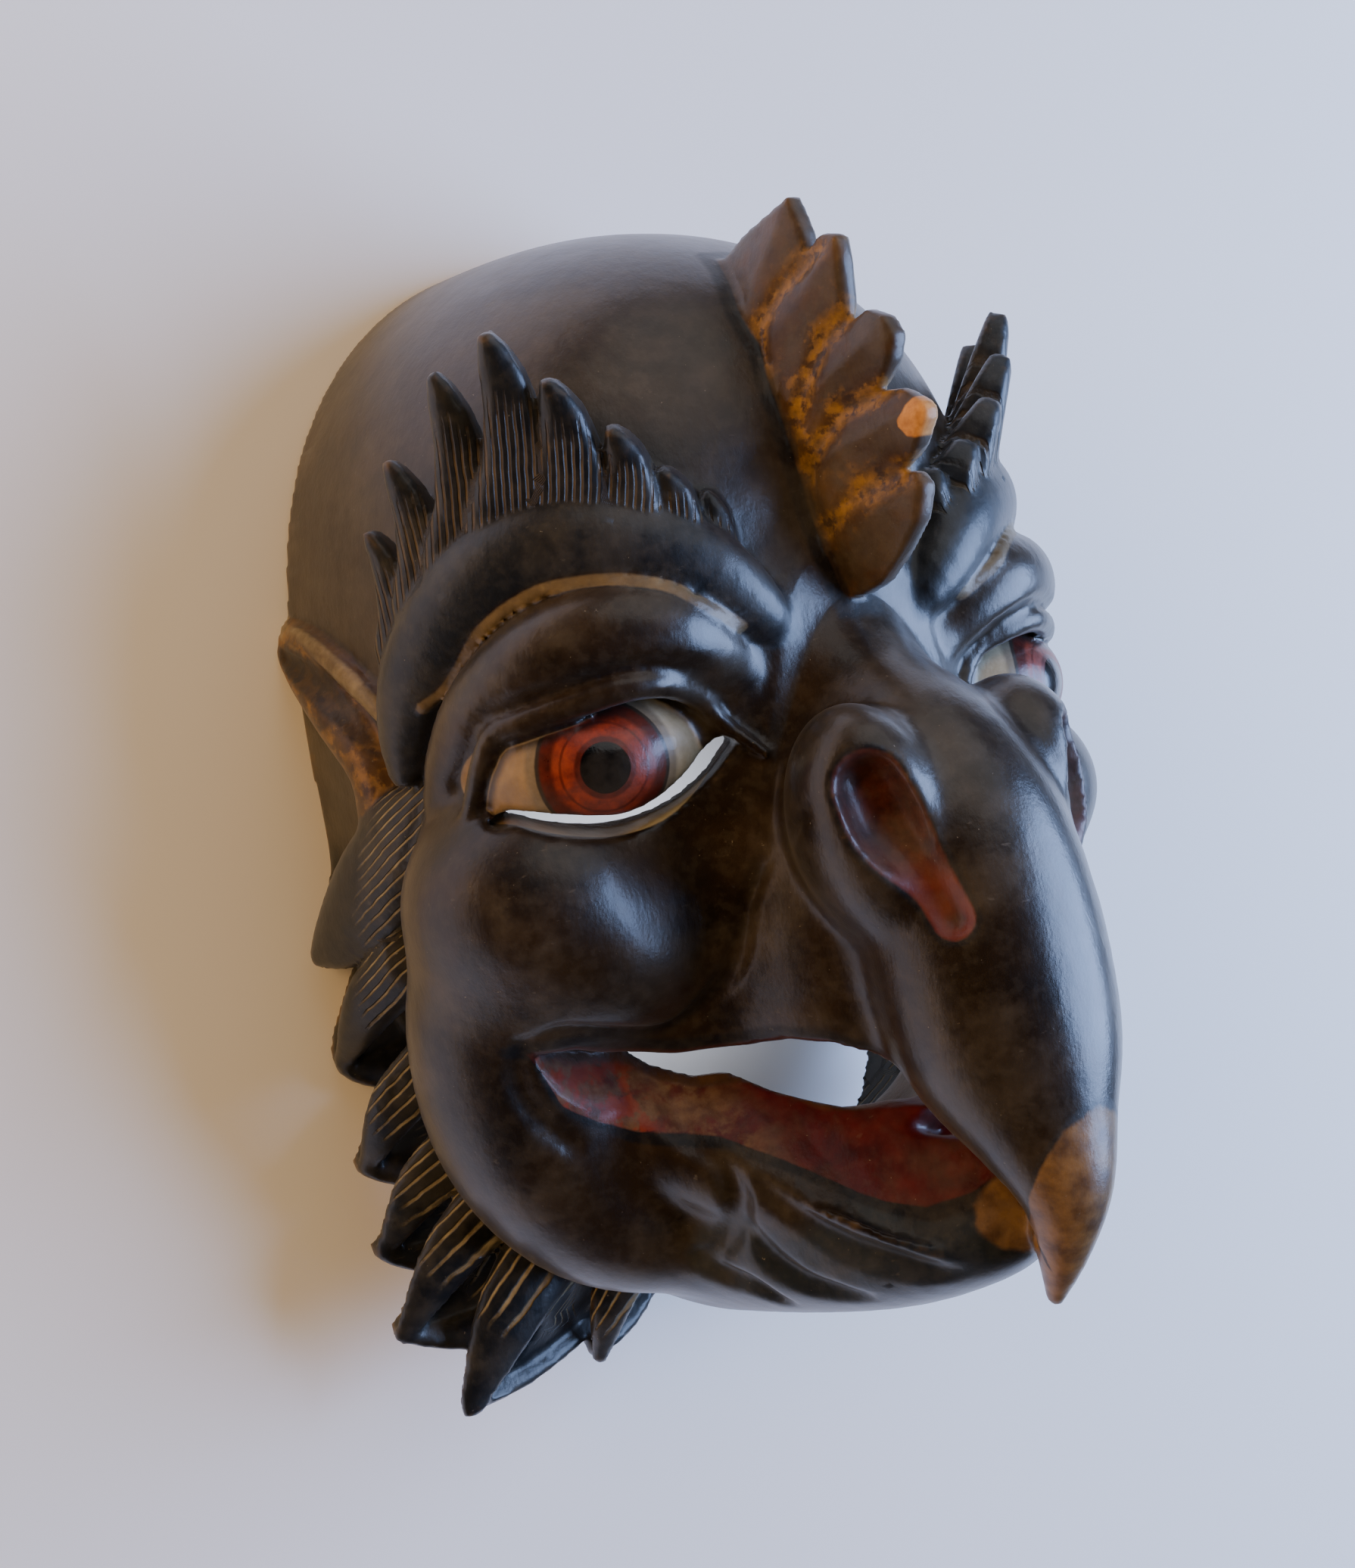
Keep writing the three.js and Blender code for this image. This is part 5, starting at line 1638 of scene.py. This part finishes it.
    def _quills(self, feather: str, spacing_mm: float, bend_mm: float, width_mm: float) -> Socket:
        """Fine engraved lines that run along a feather.

        Args:
            feather: Name of the guides that run along and across it.
            spacing_mm: From line to line.
            bend_mm: How far lines sweep sideways at the feather's tip.
            width_mm: Width of a line.

        Returns:
            A mask of the lines.
        """
        along = self.maths("MAXIMUM", self.guide(feather + "_v"), 0.0)
        bend = self.maths("POWER", along, 2.0)
        swept = self.maths("MULTIPLY_ADD", bend, bend_mm, self.guide(feather + "_u"))
        wave = self.maths("MULTIPLY_ADD", self.noise(7, 2, seed=6.4), 0.5 * spacing_mm, swept)
        phase = self.maths("FRACT", self.maths("MULTIPLY", wave, 1 / spacing_mm))
        off = self.maths("MULTIPLY", self.maths("ABSOLUTE", self.maths("SUBTRACT", phase, 0.5)), spacing_mm)
        return self.within(off, width_mm / 2, soft=0.1)

    def _feathers(self) -> None:
        """Blue-black brow and ruff, with quills engraved and picked out in ochre and cream."""
        brow = self.within("brow", 1.0, soft=0.5)
        leaf = self.within("leaf", 0.7, soft=0.4)
        self.lay(INDIGO, self.either(brow, leaf), 0.95)
        lines = self._quills("leaf", 1.3, -2.2, 0.45)
        root = self.every(self.within("leaf", 0.5, soft=0.3),
                          self.band("leaf_v", -0.3, 0.6, soft=0.2, wobble=0.25))
        lines = self.every(lines, root, self.past("brow", 0.4, soft=0.3))
        self.lay(BROW_QUILL, lines, 0.8)
        self.raise_by(lines, -0.3)
        line = self.within("brow_line", 0.45, soft=0.25, wobble=0.15)
        self.lay(EYELINE_AND_SHADE, self.band("brow_line", 0.2, 0.9, soft=0.2), 0.7)
        self.lay(BROW_LINE, line, 0.9)
        ruff = self.either(self.within("ruff", 1.2, soft=0.5),
                           self.within("feather", 1.2, soft=0.5))
        outside = self.past("hollow", -4.5, soft=0.8)
        ruff = self.every(ruff, self.past("jowl", 0.6, soft=0.6), outside)
        self.lay(INDIGO, ruff, 0.95)
        lines = self._quills("feather", 1.7, 5.0, 0.38)
        span = self.band("feather_v", -0.5, 0.62, soft=0.2, wobble=0.3)
        lines = self.every(lines, ruff, span, self.band("jowl", 1.2, 13, soft=2.5, wobble=3))
        self.lay(QUILL, lines, 0.75)
        self.raise_by(lines, -0.3)

    def _wear(self) -> None:
        """Edges rubbed to wood, painted shade in the hollows, specks and dust; the eyes stay clean."""
        off_eye = self.without(self.eye)
        edge = self.past("convex", 0.42, soft=0.2, wobble=0.3, lump_mm=2.5)
        chips = self.past(self.noise(4.5, 5, seed=7.7), 0.47, soft=0.06)
        self.lay(BARE, self.every(edge, chips, off_eye), 0.8)
        # Painted shade: every concave place is darkened with the near-black coat.
        shaded_hollows = self.every(self.within("convex", -0.2, soft=0.12), off_eye)
        self.lay(GRIME_AND_SHADE, shaded_hollows, 0.75)
        specks = self.every(self.past(self.noise(0.8, 2, seed=8.8), 0.76, soft=0.02), off_eye)
        self.lay(DUST, specks, 0.5)
        scratches = self.past(self.noise(1.6, 4, stretch=(6, 1, 1), seed=8.3), 0.69, soft=0.03)
        self.lay(DUST,
                 self.every(scratches, self.past(self.noise(25, 3, seed=3.7), 0.5, soft=0.1), off_eye),
                 0.12)
        self.lay(DUST, self.past(self.noise(18, 5, seed=9.4), 0.55, soft=0.1), 0.08)
        self.lay(DUST, self.every(self.past(self.noise(2.4, 5, seed=2.9), 0.53, soft=0.08), off_eye), 0.03)

    def _hollow(self) -> None:
        """Bare wood inside and on the rim, darkened by handling."""
        inside = self.within("hollow", -4.5, soft=0.8, wobble=0.5)
        rim = self.within("rim", 0.25, soft=0.15)
        self.lay(HOLLOW_WOOD, self.either(inside, rim))
        grain = self.noise(1.2, 5, stretch=(1, 14, 1), seed=10.3)
        self.raise_by(self.every(grain, self.either(inside, rim)), 0.25)
        side = self.maths("ABSOLUTE", self._axis(0))
        from_corner = [self.maths("ADD", self._axis(1), 58.5), self.maths("ADD", self._axis(2), -93.5)]
        under_beak = self.every(self.band(side, -1, 9.5, soft=1.5),
                                self.band(from_corner[0], -3.5, 4, soft=1),
                                self.band(from_corner[1], -7.5, 7.5, soft=2))
        self.lay(DEEP_RED, under_beak, 0.95)


@dataclass(frozen=True)
class LampKind:
    """A round soft lamp: place, size and aim in metres from the object, power in watts."""

    place: tuple[float, float, float]
    size: float
    power: float
    colour: str
    aim: tuple[float, float, float] = (0, 0, 0.05)
    spread_degrees: float = 180
    shines_back: bool = True


class Lamp(Enum):
    """The studio's lamps: cool window light, warm light off the room, one from above, one in the mask."""

    KEY = LampKind((0.74, -0.04, 0.74), 1.0, 31.0, "#a8c6ff")
    FILL = LampKind((-1.0, 0.4, 0.5), 0.9, 14.0, "#ffc680", shines_back=False)
    TOP = LampKind((0.1, 1.0, 0.75), 1.4, 4.0, "#f2f2f2")
    WITHIN = LampKind((0.0, -0.03, 0.058), 0.07, 0.03, "#e8eeff", (0, -0.02, 0), 100)


@dataclass
class Studio:
    """A pale floor, soft lamps and the camera at the photograph's angle."""

    shift_mm: float
    floor_size: float = 6.0
    floor_colour: str = "#e4e3e0"
    room_colour: str = "#ffe8c2"
    room_light: float = 0.22
    camera_mm: tuple[float, float, float] = (-204.84, 36.12, 331.72)
    right: tuple[float, float, float] = (0.812832, -0.130419, 0.56771)
    down: tuple[float, float, float] = (-0.168135, -0.98566, 0.014298)
    forward: tuple[float, float, float] = (0.557705, -0.107074, -0.823104)
    focal_px: float = 2449.82
    height_px: float = 2072.0
    sensor_mm: float = 36.0

    def floor(self) -> bpy.types.Object:
        """Lays the pale floor.

        Returns:
            The floor.
        """
        half = self.floor_size / 2
        mesh = bpy.data.meshes.new("floor")
        corners = [(-half, -half, 0), (half, -half, 0), (half, half, 0), (-half, half, 0)]
        mesh.from_pydata(corners, [], [(0, 1, 2, 3)])
        floor = bpy.data.objects.new("floor", mesh)
        bpy.context.scene.collection.objects.link(floor)
        graph = Graph("pale_floor")
        finish = {"Base Color": linear(self.floor_colour), "Roughness": 0.9}
        shader = graph.add("ShaderNodeBsdfPrincipled", finish)
        graph.add("ShaderNodeOutputMaterial", {"Surface": shader})
        mesh.materials.append(graph.material)
        return floor

    def lamps(self) -> None:
        """Hangs the soft lamps and sets the room's own light."""
        for lamp in Lamp:
            kind = lamp.value
            data = bpy.data.lights.new(lamp.name.lower(), "AREA")
            data.shape = "DISK"
            data.size = kind.size
            data.energy = kind.power
            data.color = linear(kind.colour)[:3]
            data.spread = math.radians(kind.spread_degrees)
            holder = bpy.data.objects.new(lamp.name.lower(), data)
            holder.location = kind.place
            holder.visible_glossy = kind.shines_back
            aim = Vector(kind.aim) - holder.location
            holder.rotation_euler = aim.to_track_quat("-Z", "Y").to_euler()
            bpy.context.scene.collection.objects.link(holder)
        world = bpy.data.worlds.new("room")
        world.use_nodes = True
        background = world.node_tree.nodes["Background"]
        background.inputs[0].default_value = linear(self.room_colour)
        background.inputs[1].default_value = self.room_light
        world.cycles_visibility.glossy = False
        bpy.context.scene.world = world

    def camera(self) -> None:
        """Stands the camera where the photograph was taken from."""
        data = bpy.data.cameras.new("camera")
        data.sensor_fit = "VERTICAL"
        data.sensor_height = self.sensor_mm
        data.sensor_width = self.sensor_mm
        data.lens = self.focal_px / self.height_px * self.sensor_mm
        data.clip_start = 0.01
        camera = bpy.data.objects.new("camera", data)
        axes = Matrix((self.right, [-v for v in self.down], [-v for v in self.forward])).transposed()
        place = Vector(self.camera_mm) + Vector((0, self.shift_mm, 0))
        camera.matrix_world = Matrix.Translation(place * MM) @ axes.to_4x4()
        bpy.context.scene.collection.objects.link(camera)
        bpy.context.scene.camera = camera


def main() -> None:
    """Builds the dressed mask on its frame."""
    logging.basicConfig(level=logging.INFO)
    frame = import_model()
    crown_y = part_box("mask")[1].y / MM
    shift = crown_y - (Skull.middle + Skull.crown)
    LOG.info("frame %s, shift %.3f mm", sorted(frame["nodes"]), shift)
    piece = MaskPiece(MaskForm(), shift).build()
    piece.data.materials.append(PaintedWood().build())
    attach(piece, "root")
    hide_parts("mask")
    studio = Studio(shift)
    studio.floor()
    studio.lamps()
    studio.camera()


if __name__ == "__main__":
    main()
